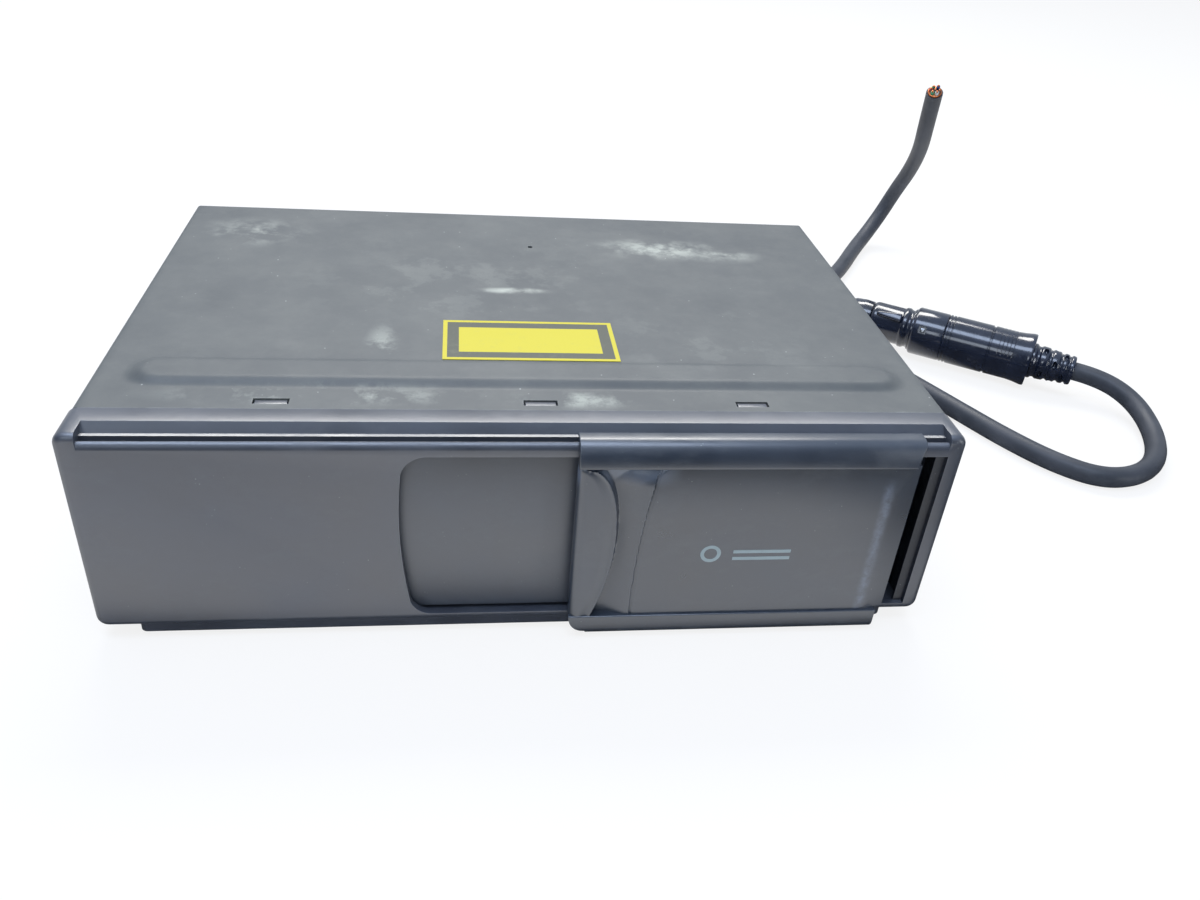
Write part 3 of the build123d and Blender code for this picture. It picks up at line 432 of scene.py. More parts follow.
def moulded_plastic(name, colour, roughness=0.36, grain=2600.0, grain_depth=0.00002, specular=1.0, specks=0.6,
                    wear=0.25):
    """Dark moulded plastic: grain, handling patches, specks of dust, edges rubbed paler."""
    material, t, place = new_material(name, roughness, specular)
    t.surface(IOR=1.6)
    grained = t.group(GRAIN, Vector=place, Scale=grain)
    handled = t.group(HANDLING, Vector=place, Scale=34.0, Specks=specks)
    body = t.mix(handled["Patches"], scaled(colour, 0.86), scaled(colour, 1.22))
    body = t.mix(t.times(handled["Smears"], 0.16), body, tone(118, 120, 120))
    body = t.mix(t.times(grained["Fleck"], 0.08), body, tone(130, 133, 138))
    body = t.mix(handled["Specks"], body, tone(168, 170, 166))
    if wear:
        paling = t.group(WORN, Vector=place, Width=0.0005)
        body = t.mix(t.times(paling["Mask"], wear), body, tone(140, 146, 154))
    t.surface(Base_Color=body)
    rough = t.remap(handled["Patches"], 0.0, 1.0, roughness - 0.05, roughness + 0.07)
    t.surface(Roughness=t.math("ADD", rough, t.times(handled["Smears"], 0.12)))
    t.surface(Normal=t.bump(grained["Height"], 0.35, grain_depth))
    return material


# where the door is painted with highlights, in metres: pairs run from not at all to fully
HIGHLIT_BEND_X, HIGHLIT_BEND_REACH, HIGHLIT_BEND_TOP, HIGHLIT_BEND_FOOT = 0.1052, 0.0026, (0.060, 0.054), (0.0090, 0.0095)
HIGHLIT_HOLLOW_X, HIGHLIT_HOLLOW_Y = (0.042, 0.034), (FACE_Y - 0.0037, FACE_Y - 0.0029)
HIGHLIT_HOLLOW_FOOT, HIGHLIT_HOLLOW_TOP = (0.0560, 0.0610), (0.0634, 0.0632)


def door_plastic():
    """Door mouldings, with a painted highlight in a soft band where the panel bends back on the right."""
    material = moulded_plastic("door_plastic", tone(43, 51, 62), 0.32, specks=0.6)
    t = Tree(material.node_tree)
    place = t.place()
    way = t.parts(place)
    off = t.math("ABSOLUTE", t.math("SUBTRACT", way["X"], HIGHLIT_BEND_X))
    pale_mask = t.times(t.fade(off, HIGHLIT_BEND_REACH, 0.0),
                     t.times(t.fade(way["Z"], *HIGHLIT_BEND_TOP), t.remap(way["Z"], *HIGHLIT_BEND_FOOT)))
    pale_mask = t.times(pale_mask, t.remap(t.noise(place, 300.0, 4.0, 0.7), 0.3, 0.65))
    # and a painted highlight at the top of the finger hollow
    hollow_highlight = t.times(t.fade(way["Z"], *HIGHLIT_HOLLOW_FOOT), t.remap(way["Y"], *HIGHLIT_HOLLOW_Y))
    hollow_highlight = t.times(hollow_highlight, t.times(t.remap(way["X"], *HIGHLIT_HOLLOW_X), t.remap(way["Z"], *HIGHLIT_HOLLOW_TOP)))
    base = t.nodes["Principled BSDF"].inputs["Base Color"]
    # both painted highlights mix the body towards a pale bluish tone
    paling = t.times(t.math("MAXIMUM", pale_mask, hollow_highlight), 0.6)
    t.set(base, t.mix(paling, base.links[0].from_socket, tone(116, 126, 142)))
    return material


# painted shade: near black plastic for the mouth panel and the deep part of the opening's right wall, where shade falls
def mouth_painted_shade():
    return moulded_plastic("mouth_painted_shade", tone(22, 28, 38), 0.6, specular=0.2, specks=0.2, wear=0)


SMUDGES = (            # middle and reach in mm, how broken up, how strong
    ((58, 56, 72), (34, 14, 9), 0.45, 0.8), ((82, 52, 72), (20, 10, 9), 0.3, 0.6),
    ((-3, 13, 72), (17, 3.6, 5), 0.25, 0.95), ((-100, 62, 72), (26, 18, 9), 0.5, 0.5),
    ((12, -64, 72), (26, 7, 4), 0.5, 0.7), ((110, -74, 70), (16, 7, 6), 0.4, 0.8),
    ((-46, -32, 72), (7, 22, 4), 0.6, 0.5), ((-60, -62, 72), (60, 8, 4), 0.7, 0.5),
    ((-20, 20, 72), (90, 60, 9), 0.95, 0.08), ((60, -20, 72), (50, 50, 9), 0.9, 0.08),
)


def cover_paint():
    """Satin grey paint on sheet steel, with settled dust and powdery smudges."""
    material, t, place = new_material("cover_paint", 0.5, 0.5)
    grained = t.group(GRAIN, Vector=place, Scale=1900.0)
    handled = t.group(HANDLING, Vector=place, Scale=22.0, Specks=0.8)
    body = t.mix(handled["Patches"], tone(80, 83, 83), tone(95, 97, 95))
    veil = t.remap(t.noise(place, 55.0, 8.0, 0.7), 0.42, 0.75)
    body = t.mix(t.times(veil, 0.30), body, tone(122, 122, 115))
    body = t.mix(t.times(handled["Smears"], 0.2), body, tone(128, 128, 122))
    dust = 0.0
    for where, reach, broken, amount in SMUDGES:
        powder = t.group(SMUDGE, Vector=place, Place=Vector(where) * MM, Reach=Vector(reach) * MM, Break_up=broken)
        dust = t.math("MAXIMUM", dust, t.times(powder["Mask"], amount))
    body = t.mix(dust, body, tone(188, 189, 176))
    body = t.mix(handled["Specks"], body, tone(198, 198, 190))
    paling = t.group(WORN, Vector=place, Width=0.0007)
    body = t.mix(t.times(paling["Mask"], 0.35), body, tone(168, 170, 168))
    t.surface(Base_Color=body)
    rough = t.remap(handled["Patches"], 0.0, 1.0, 0.46, 0.56)
    t.surface(Roughness=t.math("ADD", rough, t.times(dust, 0.3)))
    height = t.math("ADD", grained["Height"], t.times(dust, 2.0))
    t.surface(Normal=t.bump(height, 0.4, 0.00003))
    return material


def plated_steel(name, colour, roughness):
    """Zinc or nickel plate with a faint spangle and fine scratches."""
    material, t, place = new_material(name, roughness, metallic=1.0)
    spangle = t.remap(t.cells(place, 160.0), 0.0, 0.7)
    scratched = t.noise(t.mapped(place, scale=(1, 14, 1)), 900.0, 2.0)
    stained = t.remap(t.noise(place, 45.0, 5.0), 0.35, 0.75)
    body = t.mix(spangle, colour, scaled(colour, 0.72))
    body = t.mix(t.times(stained, 0.35), body, tone(120, 118, 112))
    t.surface(Base_Color=body)
    t.surface(Roughness=t.remap(scratched, 0.3, 0.7, roughness - 0.06, roughness + 0.12))
    t.surface(Normal=t.bump(scratched, 0.15, 0.00001))
    return material


def circuit_board():
    """Green lacquer over copper tracks, gold pads."""
    material, t, place = new_material("circuit_board", 0.35)
    tracks = t.cells(place, 260.0, 0.1)
    wander = t.noise(place, 90.0, 1.0)
    lines = t.remap(t.math("PINGPONG", t.math("ADD", t.times(wander, 3.0), tracks), 0.25), 0.10, 0.13)
    pads = t.remap(t.cells(place, 330.0, 0.35), 0.16, 0.12)
    body = t.mix(lines, tone(22, 70, 44), tone(34, 98, 58))
    body = t.mix(t.times(pads, 0.8), body, tone(196, 168, 96))
    t.surface(Base_Color=body)
    t.surface(Normal=t.bump(lines, 0.3, 0.00003))
    return material


def cable_jacket():
    """Matt grey jacket, faintly ribbed by its lay, with dusty patches."""
    material, t, place = new_material("cable_jacket", 0.5, 0.4)
    grained = t.group(GRAIN, Vector=place, Scale=1600.0)
    handled = t.group(HANDLING, Vector=place, Scale=60.0, Specks=0.3)
    body = t.mix(handled["Patches"], tone(54, 57, 63), tone(70, 72, 78))
    body = t.mix(t.times(handled["Smears"], 0.3), body, tone(92, 94, 97))
    t.surface(Base_Color=body)
    t.surface(Roughness=t.remap(handled["Patches"], 0, 1, 0.42, 0.56))
    t.surface(Normal=t.bump(grained["Height"], 0.3, 0.00003))
    return material


def plug_gloss():
    """Near black glossy shell with fingerprints and hairline scratches."""
    material, t, place = new_material("plug_gloss", 0.2, 0.6)
    t.surface(Coat_Weight=0.6, Coat_Roughness=0.10)
    handled = t.group(HANDLING, Vector=place, Scale=90.0, Specks=0.5)
    body = t.mix(handled["Patches"], tone(20, 26, 40), tone(30, 37, 54))
    body = t.mix(t.times(handled["Smears"], 0.10), body, tone(92, 94, 98))
    body = t.mix(handled["Specks"], body, tone(150, 150, 146))
    t.surface(Base_Color=body)
    t.surface(Roughness=t.remap(handled["Smears"], 0, 1, 0.18, 0.42))
    t.surface(Normal=t.bump(t.noise(place, 500.0, 3.0), 0.05, 0.00002))
    return material


def bright_copper():
    material, t, place = new_material("copper", 0.3, metallic=1.0)
    stained = t.noise(place, 800.0, 3.0)
    t.surface(Base_Color=t.mix(stained, tone(196, 118, 72), tone(150, 84, 52)))
    t.surface(Normal=t.bump(stained, 0.3, 0.00003))
    return material


def lens_glass():
    material, t, place = new_material("lens_glass", 0.04)
    t.surface(Transmission_Weight=0.9, IOR=1.5)
    haze = t.noise(place, 700.0, 2.0)
    t.surface(Base_Color=t.mix(haze, tone(150, 170, 220), tone(180, 195, 235)))
    return material


def disc_mirror():
    """Polycarbonate over aluminium: a radial fan of soft colour, a painted rainbow sheen, and fine tracks."""
    material, t, place = new_material("disc_mirror", 0.12, metallic=1.0)
    centred = t.mapped(place, place=(-0.053, 0.00725, 0))
    fan = t.nodes.new("ShaderNodeTexGradient")
    fan.gradient_type = "RADIAL"
    t.set(fan.inputs["Vector"], centred)
    # painted rainbow sheen, repeated round the middle
    swing = t.math("PINGPONG", t.times(fan.outputs["Fac"], 6.0), 1.0)
    ramp = t.nodes.new("ShaderNodeValToRGB")
    for position, colour in ((0.0, tone(214, 216, 222)), (0.35, tone(206, 214, 232)), (0.55, tone(198, 226, 214)),
                             (0.72, tone(236, 226, 192)), (0.9, tone(232, 200, 206))):
        stop = ramp.color_ramp.elements.new(position) if position else ramp.color_ramp.elements[0]
        stop.color = colour
    t.set(ramp.inputs["Fac"], swing)
    t.surface(Base_Color=ramp.outputs["Color"])
    t.surface(Roughness=t.remap(t.noise(place, 60.0, 3.0), 0.3, 0.7, 0.08, 0.2))
    return material


def printed_film(name, colour, worn_colour):
    """Sticker film, slightly rubbed."""
    material, t, place = new_material(name, 0.42)
    pale_mask = t.remap(t.noise(place, 240.0, 6.0, 0.7), 0.55, 0.8)
    t.surface(Base_Color=t.mix(t.times(pale_mask, 0.5), colour, worn_colour))
    t.surface(Normal=t.bump(t.noise(place, 130.0, 2.0), 0.2, 0.00006))
    return material


def wire_skin(name, colour):
    material, t, place = new_material(name, 0.4)
    mottled = t.noise(place, 900.0, 2.0)
    t.surface(Base_Color=t.mix(mottled, colour, scaled(colour, 0.7)))
    return material


PLASTICS = {           # name: tone, then what differs from the usual moulding
    "bezel_plastic": ((60, 64, 73), {}),
    "shutter_plastic": ((58, 63, 71), {"roughness": 0.38, "specks": 0.5, "wear": 0.15}),
    "damper_rubber": ((52, 53, 55), {"roughness": 0.6, "grain": 1500.0, "specular": 0.3, "wear": 0}),
    "component_plastic": ((44, 45, 48), {"roughness": 0.5, "wear": 0, "specks": 0.1}),
    "magazine_plastic": ((60, 62, 66), {"roughness": 0.45, "wear": 0.2}),
    "tray_plastic": ((150, 152, 150), {"roughness": 0.5, "wear": 0, "specks": 0.1}),
    "mechanism_plastic": ((205, 203, 194), {"roughness": 0.45, "wear": 0, "specks": 0.1}),
}
MATERIALS = {name: moulded_plastic(name, tone(*colour), **differs) for name, (colour, differs) in PLASTICS.items()}
MATERIALS.update({
    "door_plastic": door_plastic(), "cover_paint": cover_paint(), "circuit_board": circuit_board(),
    "zinc_steel": plated_steel("zinc_steel", tone(178, 180, 178), 0.38),
    "bright_steel": plated_steel("bright_steel", tone(205, 206, 208), 0.22), "disc_mirror": disc_mirror(),
    "lens_glass": lens_glass(), "cable_jacket": cable_jacket(), "plug_gloss": plug_gloss(), "copper": bright_copper(),
})


# ---------------- cords and the round plug
def flat_point(run):
    """A point on the plug's axis, run mm from the locking collar's rear rim."""
    return tuple(PLUG_START / MM + ALONG_PLUG * run)


PIGTAIL_ROUTE = [(103, 93.95, 26), (103, 111, 26), (110, 129, 23.5), (126, 141, 19.5), (145, 144.5, 15),
                 flat_point(-48), flat_point(-33)]
LEAD_ROUTE = [flat_point(75.5), flat_point(87.5), (284, 47.5, 9.5), (283.5, 27.5, 5.2), (272.5, 6, 4.4),
              (256.5, -6.5, 4.4), (238.5, -8.5, 4.4), (223.5, 3.5, 4.4), (211, 22.5, 4.4), (201, 42, 4.4),
              (191.5, 61, 4.4), (181, 80, 4.8), (169.5, 97, 9), (160, 114, 17), (154, 131.5, 23.5), (154, 150, 23),
              (161, 166, 14), (172, 177, 6.5), (185, 189, 4.4), (198.5, 208, 4.4), (214.5, 235, 4.6), (228, 253, 8),
              (238.5, 262, 18), (244.5, 262, 33), (245, 249.5, 50), (239, 230, 68), (229, 209, 86), (223, 196, 107)]
LEAD_RADIUS, PIGTAIL_RADIUS = 4.3, 4.0


def round_cord(name, route, radius, sides=10):
    """A cord of one thickness along a route, all in mm."""
    data = bpy.data.curves.new(name, "CURVE")
    data.dimensions = "3D"
    data.resolution_u = data.render_resolution_u = 12
    data.bevel_depth = radius * MM
    data.bevel_resolution = sides
    data.use_fill_caps = True
    spline = data.splines.new("NURBS")
    spline.points.add(len(route) - 1)
    for point, place in zip(spline.points, route):
        point.co = (place[0] * MM, place[1] * MM, place[2] * MM, 1)
    spline.order_u = 3
    spline.use_endpoint_u = True
    return linked(name, data)


def lead_line():
    """Points along the middle of the lead, taken from a cord without thickness."""
    bare = round_cord("measure", LEAD_ROUTE, 0)
    bpy.context.view_layer.update()
    line = bpy.data.meshes.new_from_object(bare)
    points = [vertex.co.copy() for vertex in line.vertices]
    bpy.data.meshes.remove(line)
    bpy.data.objects.remove(bare, do_unlink=True)
    return points


def make_cords():
    jacket = MATERIALS["cable_jacket"]
    pigtail = dress(round_cord("pigtail", PIGTAIL_ROUTE, PIGTAIL_RADIUS), jacket, "housing", "pigtail_cable")
    lead = dress(round_cord("lead", LEAD_ROUTE, LEAD_RADIUS), jacket, "housing", "lead_cable")


def turned_piece(name, profile, sides=64):
    """A turned piece on the Z axis: a ring pulled through each (run, radius) of its profile, in mm."""
    run, radius = profile[0]
    bpy.ops.mesh.primitive_circle_add(vertices=sides, radius=radius * MM, location=(0, 0, run * MM), fill_type="NGON")
    piece = named(name)
    open_edit(settle(piece))
    mesh = bmesh.from_edit_mesh(piece.data)
    for face in mesh.faces:
        face.select_set(False)
    for edge in mesh.edges:
        edge.select_set(True)
    bmesh.update_edit_mesh(piece.data)
    for (last_run, last_radius), (run, radius) in zip(profile, profile[1:]):
        bpy.ops.mesh.extrude_edges_move(TRANSFORM_OT_translate={"value": (0, 0, (run - last_run) * MM)})
        if radius != last_radius:
            bpy.ops.transform.resize(value=(radius / last_radius, radius / last_radius, 1),
                                     center_override=(0, 0, run * MM))
    bpy.ops.mesh.edge_face_add()
    face_outward()
    return piece


def turn_to(piece, place, along):
    """A piece modelled round the Z axis goes to a place, its Z along a direction."""
    piece.matrix_world = Matrix.Translation(place) @ along.to_track_quat("Z", "Y").to_matrix().to_4x4()
    return settle(piece)


def onto_plug_axis(piece):
    return turn_to(piece, PLUG_START, ALONG_PLUG)


def rounded(profile, radius=0.4):
    """A profile with each inner corner cut by two points, so that its edges catch the light."""
    softened = [profile[0]]
    for before, corner, after in zip(profile, profile[1:], profile[2:]):
        for other in (before, after):
            span = hypot(other[0] - corner[0], other[1] - corner[1])
            share = min(0.4, radius / span) if span else 0
            softened.append((corner[0] + (other[0] - corner[0]) * share, corner[1] + (other[1] - corner[1]) * share))
    softened.append(profile[-1])
    return softened


def cut_away(piece, *cutters):
    """Boolean difference, the cutters then removed."""
    for cutter in cutters:
        cut = piece.modifiers.new("cut", "BOOLEAN")
        cut.operation = "DIFFERENCE"
        cut.solver = "EXACT"
        cut.object = cutter
        apply_modifiers(piece)
    for cutter in cutters:
        bpy.data.objects.remove(cutter, do_unlink=True)
    return piece


def join(name, *pieces):
    select_only(*pieces)
    bpy.ops.object.join()
    return named(name)


def box_at(name, low, high):
    """A box between two corners in metres."""
    low, high = Vector(low), Vector(high)
    bpy.ops.mesh.primitive_cube_add(size=1, location=(low + high) / 2, scale=high - low)
    return settle(named(name))


def rod(name, start, end, radius, sides=24):
    """A round rod between two places in metres."""
    start, end = Vector(start), Vector(end)
    bpy.ops.mesh.primitive_cylinder_add(vertices=sides, radius=radius, depth=(end - start).length)
    return turn_to(named(name), (start + end) / 2, end - start)


def around_plug(piece, turn):
    """Turns a piece about the plug's axis."""
    piece.matrix_world = (Matrix.Translation(PLUG_START) @ Matrix.Rotation(turn, 4, ALONG_PLUG)
                          @ Matrix.Translation(-PLUG_START) @ piece.matrix_world)
    return settle(piece)


def plug_part(piece, node, angle=40):
    """A piece of the plug or the socket, smoothed, stands for its node."""
    return dress(smooth(piece, angle), MATERIALS["plug_gloss"], "housing", node)


def make_socket_boot():
    boot = turned_piece("socket_sleeve", rounded(
        [(-33.0, 4.3), (-33.0, 7.0), (-31.0, 8.4), (-25.5, 8.9), (-21.2, 8.6), (-21.2, 4.3)]))
    return plug_part(onto_plug_axis(boot), "socket_boot")


def make_socket_shell():
    shell = turned_piece("socket_barrel", rounded(
        [(-21.0, 4.5), (-21.0, 8.6), (-19.5, 9.2), (-6.0, 9.2), (-5.4, 9.9), (-3.4, 9.9), (-2.8, 9.2), (-1.4, 9.2),
         (-1.0, 10.2), (-0.2, 10.2), (8.6, 8.7), (8.6, 4.5)], 0.35))
    onto_plug_axis(shell)
    # raised latch tongue with its round nose, on the side that faces the front
    tongue = box_at("tongue", (-0.0022, -0.0004, -0.0185), (0.0022, 0.0019, -0.0062))
    open_edit(tongue)
    mesh = bmesh.from_edit_mesh(tongue.data)
    for vertex in mesh.verts:
        if vertex.co.z < -0.018:
            vertex.co.x *= 0.45
            vertex.co.y -= 0.0008 if vertex.co.y > 0 else 0
    bmesh.update_edit_mesh(tongue.data)
    bpy.ops.object.mode_set(mode="OBJECT")
    soften_edges(tongue, 0.0007, 3)
    tongue.location = (0, 0.0091, 0)
    settle(tongue)
    onto_plug_axis(tongue)
    around_plug(tongue, radians(44))
    shell = join("socket_barrel", tongue, smooth(shell, 40))
    return dress(shell, MATERIALS["plug_gloss"], "housing", "socket_shell")


WINDOW_TURN = radians(62)      # the collar's window, about the plug's axis


def make_collar():
    collar = turned_piece("collar_ring", rounded(
        [(-0.1, 10.45), (0.0, 11.0), (0.8, 11.6), (14.9, 11.6), (15.1, 11.3), (15.1, 9.4)], 0.3))
    onto_plug_axis(collar)
    window = box_at("window", (-0.0018, 0.0104, 0.0032), (0.0018, 0.0130, 0.0068))
    cut_away(collar, around_plug(onto_plug_axis(window), WINDOW_TURN))
    glint = box_at("glint", (-0.0012, 0.0098, 0.0040), (0.0008, 0.0107, 0.0060))
    soften_edges(around_plug(onto_plug_axis(glint), WINDOW_TURN), 0.0003)
    glint.name = "collar_key"
    dress(glint, MATERIALS["bright_steel"], "housing")
    return plug_part(collar, "locking_collar"), glint


def make_plug_shell():
    fine_rings = []
    for ring in range(5):
        run = 40.6 + ring * 1.7
        fine_rings += [(run, 11.62), (run + 0.15, 11.50), (run + 0.30, 11.62)]
    profile = [(15.2, 9.3), (15.2, 11.2), (15.6, 11.6), (16.4, 11.6), (16.6, 11.2), (17.0, 11.2), (17.2, 11.6),
               (18.0, 11.6), (18.2, 11.2), (18.5, 11.2), (18.7, 11.65), (36.0, 11.65), (36.3, 11.15), (36.9, 11.15),
               (37.2, 11.62)] + fine_rings + [(48.8, 11.7), (51.0, 11.9), (53.0, 12.25), (54.4, 12.5), (55.5, 12.5),
                                              (56.0, 12.3), (56.1, 12.0), (56.1, 6.5)]
    shell = turned_piece("plug_barrel", profile, 72)
    onto_plug_axis(shell)
    return plug_part(shell, "plug_shell", 32)


def make_strain_relief():
    """Tapered moulding: rings with rows of oval holes between them, then an end ring."""
    relief = turned_piece("strain_relief", rounded(
        [(56.1, 4.4), (56.1, 8.3), (57.4, 8.4), (58.2, 7.4), (59.4, 7.3), (60.0, 8.0), (63.4, 7.8), (63.8, 7.0),
         (64.8, 6.9), (65.2, 7.6), (68.4, 7.3), (68.8, 6.5), (69.8, 6.4), (70.2, 7.1), (72.0, 7.0), (72.4, 6.2),
         (73.2, 6.2), (73.5, 7.0), (75.2, 6.8), (75.5, 6.3), (75.5, 4.4)], 0.3), 48)
    onto_plug_axis(relief)
    holes = []
    for row, (run, first) in enumerate(((61.7, 20), (66.8, 65), (71.1, 20))):
        for quarter in range(4):
            bpy.ops.mesh.primitive_uv_sphere_add(segments=16, ring_count=8, radius=1,
                                                 location=(0, (7.4 - row * 0.3) * MM, run * MM),
                                                 scale=(0.0021, 0.0016, 0.00115 - row * 0.0001))
            hole = onto_plug_axis(settle(bpy.context.object))
            holes.append(around_plug(hole, radians(first + quarter * 90)))
    cut_away(relief, join("holes", *holes))
    return plug_part(relief, "plug_boot")


def make_grommet():
    low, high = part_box("cable_grommet")
    start, end = low.y / MM, high.y / MM
    grommet = turned_piece("outlet_grommet", rounded(
        [(start, 4.15), (start, 6.9), (start + 1.2, 7.6), (84.85, 7.6), (84.9, 5.85), (86.3, 5.85), (86.4, 8.4),
         (88.4, 8.2), (88.8, 6.6), (89.8, 6.5), (90.1, 7.2), (91.4, 7.0), (91.8, 5.7), (92.6, 5.6), (92.9, 6.2),
         (end - 0.2, 5.9), (end, 5.4), (end, 4.15)], 0.3), 48)
    grommet.matrix_world = Matrix.Translation(Vector((103, 0, 26)) * MM) @ Matrix.Rotation(radians(-90), 4, "X")
    return dress(smooth(settle(grommet), 40), MATERIALS["damper_rubber"], "housing", "cable_grommet")


def make_cut_end(points):
    """Jacket end of the lead: foil, a ring of coloured conductors and their copper."""
    tip = points[-1]
    ahead = (points[-1] - points[-3]).normalized()
    aside = ahead.cross(Vector((0, 0, 1))).normalized()
    above = aside.cross(ahead).normalized()
    screen = rod("foil_screen", tip - ahead * 0.0030, tip + ahead * 0.0010, 0.0036, 32)
    soften_edges(screen, 0.0003)
    dress(screen, MATERIALS["copper"], "housing", "cut_conductors")
    pieces = [screen]
    skins = (("red", (172, 44, 40)), ("green", (44, 132, 84)), ("blue", (52, 84, 150)), ("brown", (112, 66, 44)),
             ("white", (206, 204, 196)), ("green_2", (58, 142, 96)), ("black", (46, 46, 50)))
    chance = random.Random(7)
    for number, (title, colour) in enumerate(skins):
        turn = number * 2 * pi / 6
        out = 0.0 if number == 6 else 0.0022
        middle = tip + aside * (out * cos(turn)) + above * (out * sin(turn))
        reach = 0.0018 + 0.0016 * chance.random()
        skin = rod("conductor_" + title, middle - ahead * 0.003, middle + ahead * reach, 0.00095, 16)
        soften_edges(skin, 0.0001)
        dress(skin, wire_skin("wire_" + title, tone(*colour)), "housing")
        core = rod("core_" + title, middle, middle + ahead * (reach + 0.0006), 0.00055, 10)
        soften_edges(core, 0.0001)
        dress(core, MATERIALS["copper"], "housing")
        pieces += [skin, core]
    return pieces


# ---------------- housing
COVER_HALF, COVER_BOTTOM, BEND, SHEET = 126.1, 4.0, 1.6, 1.0
COVER_FRONT, COVER_BACK = 14.3, 173.0
BEAD_MIDDLE, BEAD_HALF_LENGTH, BEAD_HALF_WIDTH, BEAD_HEIGHT = (1.0, 35.0), 118.0, 9.0, 1.8
SNAP_X = (-74.3, 1.8, 65.6)
# holes in both sides, for the bracket nuts and the screws: depths and height in mm, radius in metres, facets
SIDE_HOLES = (((32.0, 157.0), 64.0, 0.0035, 32), ((24.0, 166.0), 9.0, 0.0016, 20))


def ease(value, start, end):
    """0 before start, 1 after end, smooth between."""
    share = min(1.0, max(0.0, (value - start) / (end - start)))
    return share * share * (3 - 2 * share)


def bead_rise(x, d):
    """Height of the pressed bead at a place of the cover, in mm: a flat crest with soft flanks."""
    straight = BEAD_HALF_LENGTH - BEAD_HALF_WIDTH
    past_end = max(0.0, abs(x - BEAD_MIDDLE[0]) - straight)
    out = hypot(past_end, d - BEAD_MIDDLE[1])
    return BEAD_HEIGHT * ease(BEAD_HALF_WIDTH - out, 0.0, 4.4)


def grid(name, columns, rows):
    """A flat grid over the unit square."""
    bpy.ops.mesh.primitive_grid_add(x_subdivisions=columns, y_subdivisions=rows, size=1, location=(0.5, 0.5, 0))
    return settle(named(name))


def make_cover():
    """Steel sheet: bent down over both sides, its bead pressed up, slots and holes punched."""
    side = TOP - BEND - COVER_BOTTOM
    arc = BEND * pi / 2
    flat = 2 * (COVER_HALF - BEND)
    girth = 2 * (side + arc) + flat
    # columns lie close together at the bends and evenly along the top
    stops = [0.0, side * 0.5, side]
    stops += [side + arc * k / 5 for k in range(1, 6)]
    stops += [side + arc + flat * k / 150 for k in range(1, 151)]
    stops += [side + arc + flat + arc * k / 5 for k in range(1, 6)]
    stops += [girth - side * 0.5, girth]
    depths = [COVER_FRONT, 15.3]
    depths += [16.5 + k * 0.75 for k in range(41)]
    depths += [50 + k * (COVER_BACK - 50) / 24 for k in range(25)]
    cover = grid("cover", len(stops) - 1, len(depths) - 1)
    for vertex in cover.data.vertices:
        along = stops[round(vertex.co.x * (len(stops) - 1))]
        d = depths[round(vertex.co.y * (len(depths) - 1))]
        if along < side:
            x, z = -COVER_HALF, COVER_BOTTOM + along
        elif along < side + arc:
            turn = (along - side) / BEND
            x, z = -COVER_HALF + BEND * (1 - cos(turn)), TOP - BEND + BEND * sin(turn)
        elif along <= side + arc + flat:
            x, z = -COVER_HALF + BEND + along - side - arc, TOP
        elif along < girth - side:
            turn = (along - side - arc - flat) / BEND
            x, z = COVER_HALF - BEND + BEND * sin(turn), TOP - BEND + BEND * cos(turn)
        else:
            x, z = COVER_HALF, COVER_BOTTOM + girth - along
        if z == TOP:
            z += bead_rise(x, d)
        vertex.co = at(x, d, z)
    open_edit(cover)
    face_outward()
    if sum(p.normal.z for p in cover.data.polygons) < 0:
        cover.data.flip_normals()
    thick = cover.modifiers.new("sheet", "SOLIDIFY")
    thick.thickness = SHEET * MM
    thick.offset = -1
    apply_modifiers(cover)
    punches = [box_at("punch", at(x - 5, 17, 69), at(x + 5, 20, 75)) for x in SNAP_X]
    punches.append(rod("punch", at(5.7, 139, 68), at(5.7, 139, 74), 0.0010, 20))
    for sign in (-1, 1):
        for depths, z, radius, sides in SIDE_HOLES:
            punches += [rod("punch", at(sign * 124, d, z), at(sign * 128, d, z), radius, sides) for d in depths]
    cut_away(cover, join("punches", *punches))
    smooth(cover, 30)
    return dress(cover, MATERIALS["cover_paint"], "housing", "top_cover")


RECESS_X, RECESS_Z, RECESS_START, MOUTH_START = (117, 122.6), (7, 66), 0.9, 2.0
STEP_END, STEP_D, STEP_Z, STEP_FORWARD = 0.1225, (6.2, 7.4), (69.3, 70.3), 1.7 * MM    # foot of the step


def make_bezel():
    bezel = finished_copy("front_bezel", "front_moulding", 0.28, "housing", MATERIALS["bezel_plastic"], 3)
    bezel.data.materials.append(mouth_painted_shade())
    bezel.data.materials.append(moulded_plastic("recess_painted_shade", tone(32, 37, 46), 0.4, specular=0.5, wear=0))
    # painted shade: faces of the opening's right wall take dark plastics, the darkest deeper in
    for face in bezel.data.polygons:
        x, d, z = face.center.x / MM, (face.center.y - FACE_Y) / MM, face.center.z / MM
        if RECESS_X[0] < x < RECESS_X[1] and RECESS_Z[0] < z < RECESS_Z[1] and d > RECESS_START:
            face.material_index = 1 if d > MOUTH_START else 2
    # the step behind the ledge slopes back
    for vertex in bezel.data.vertices:
        d, z = (vertex.co.y - FACE_Y) / MM, vertex.co.z / MM
        if abs(vertex.co.x) < STEP_END and STEP_D[0] < d < STEP_D[1] and STEP_Z[0] < z < STEP_Z[1]:
            vertex.co.y -= STEP_FORWARD
    return bezel


STICKER_X, STICKER_D = (-27.0, 29.0), (44.5, 72.0)


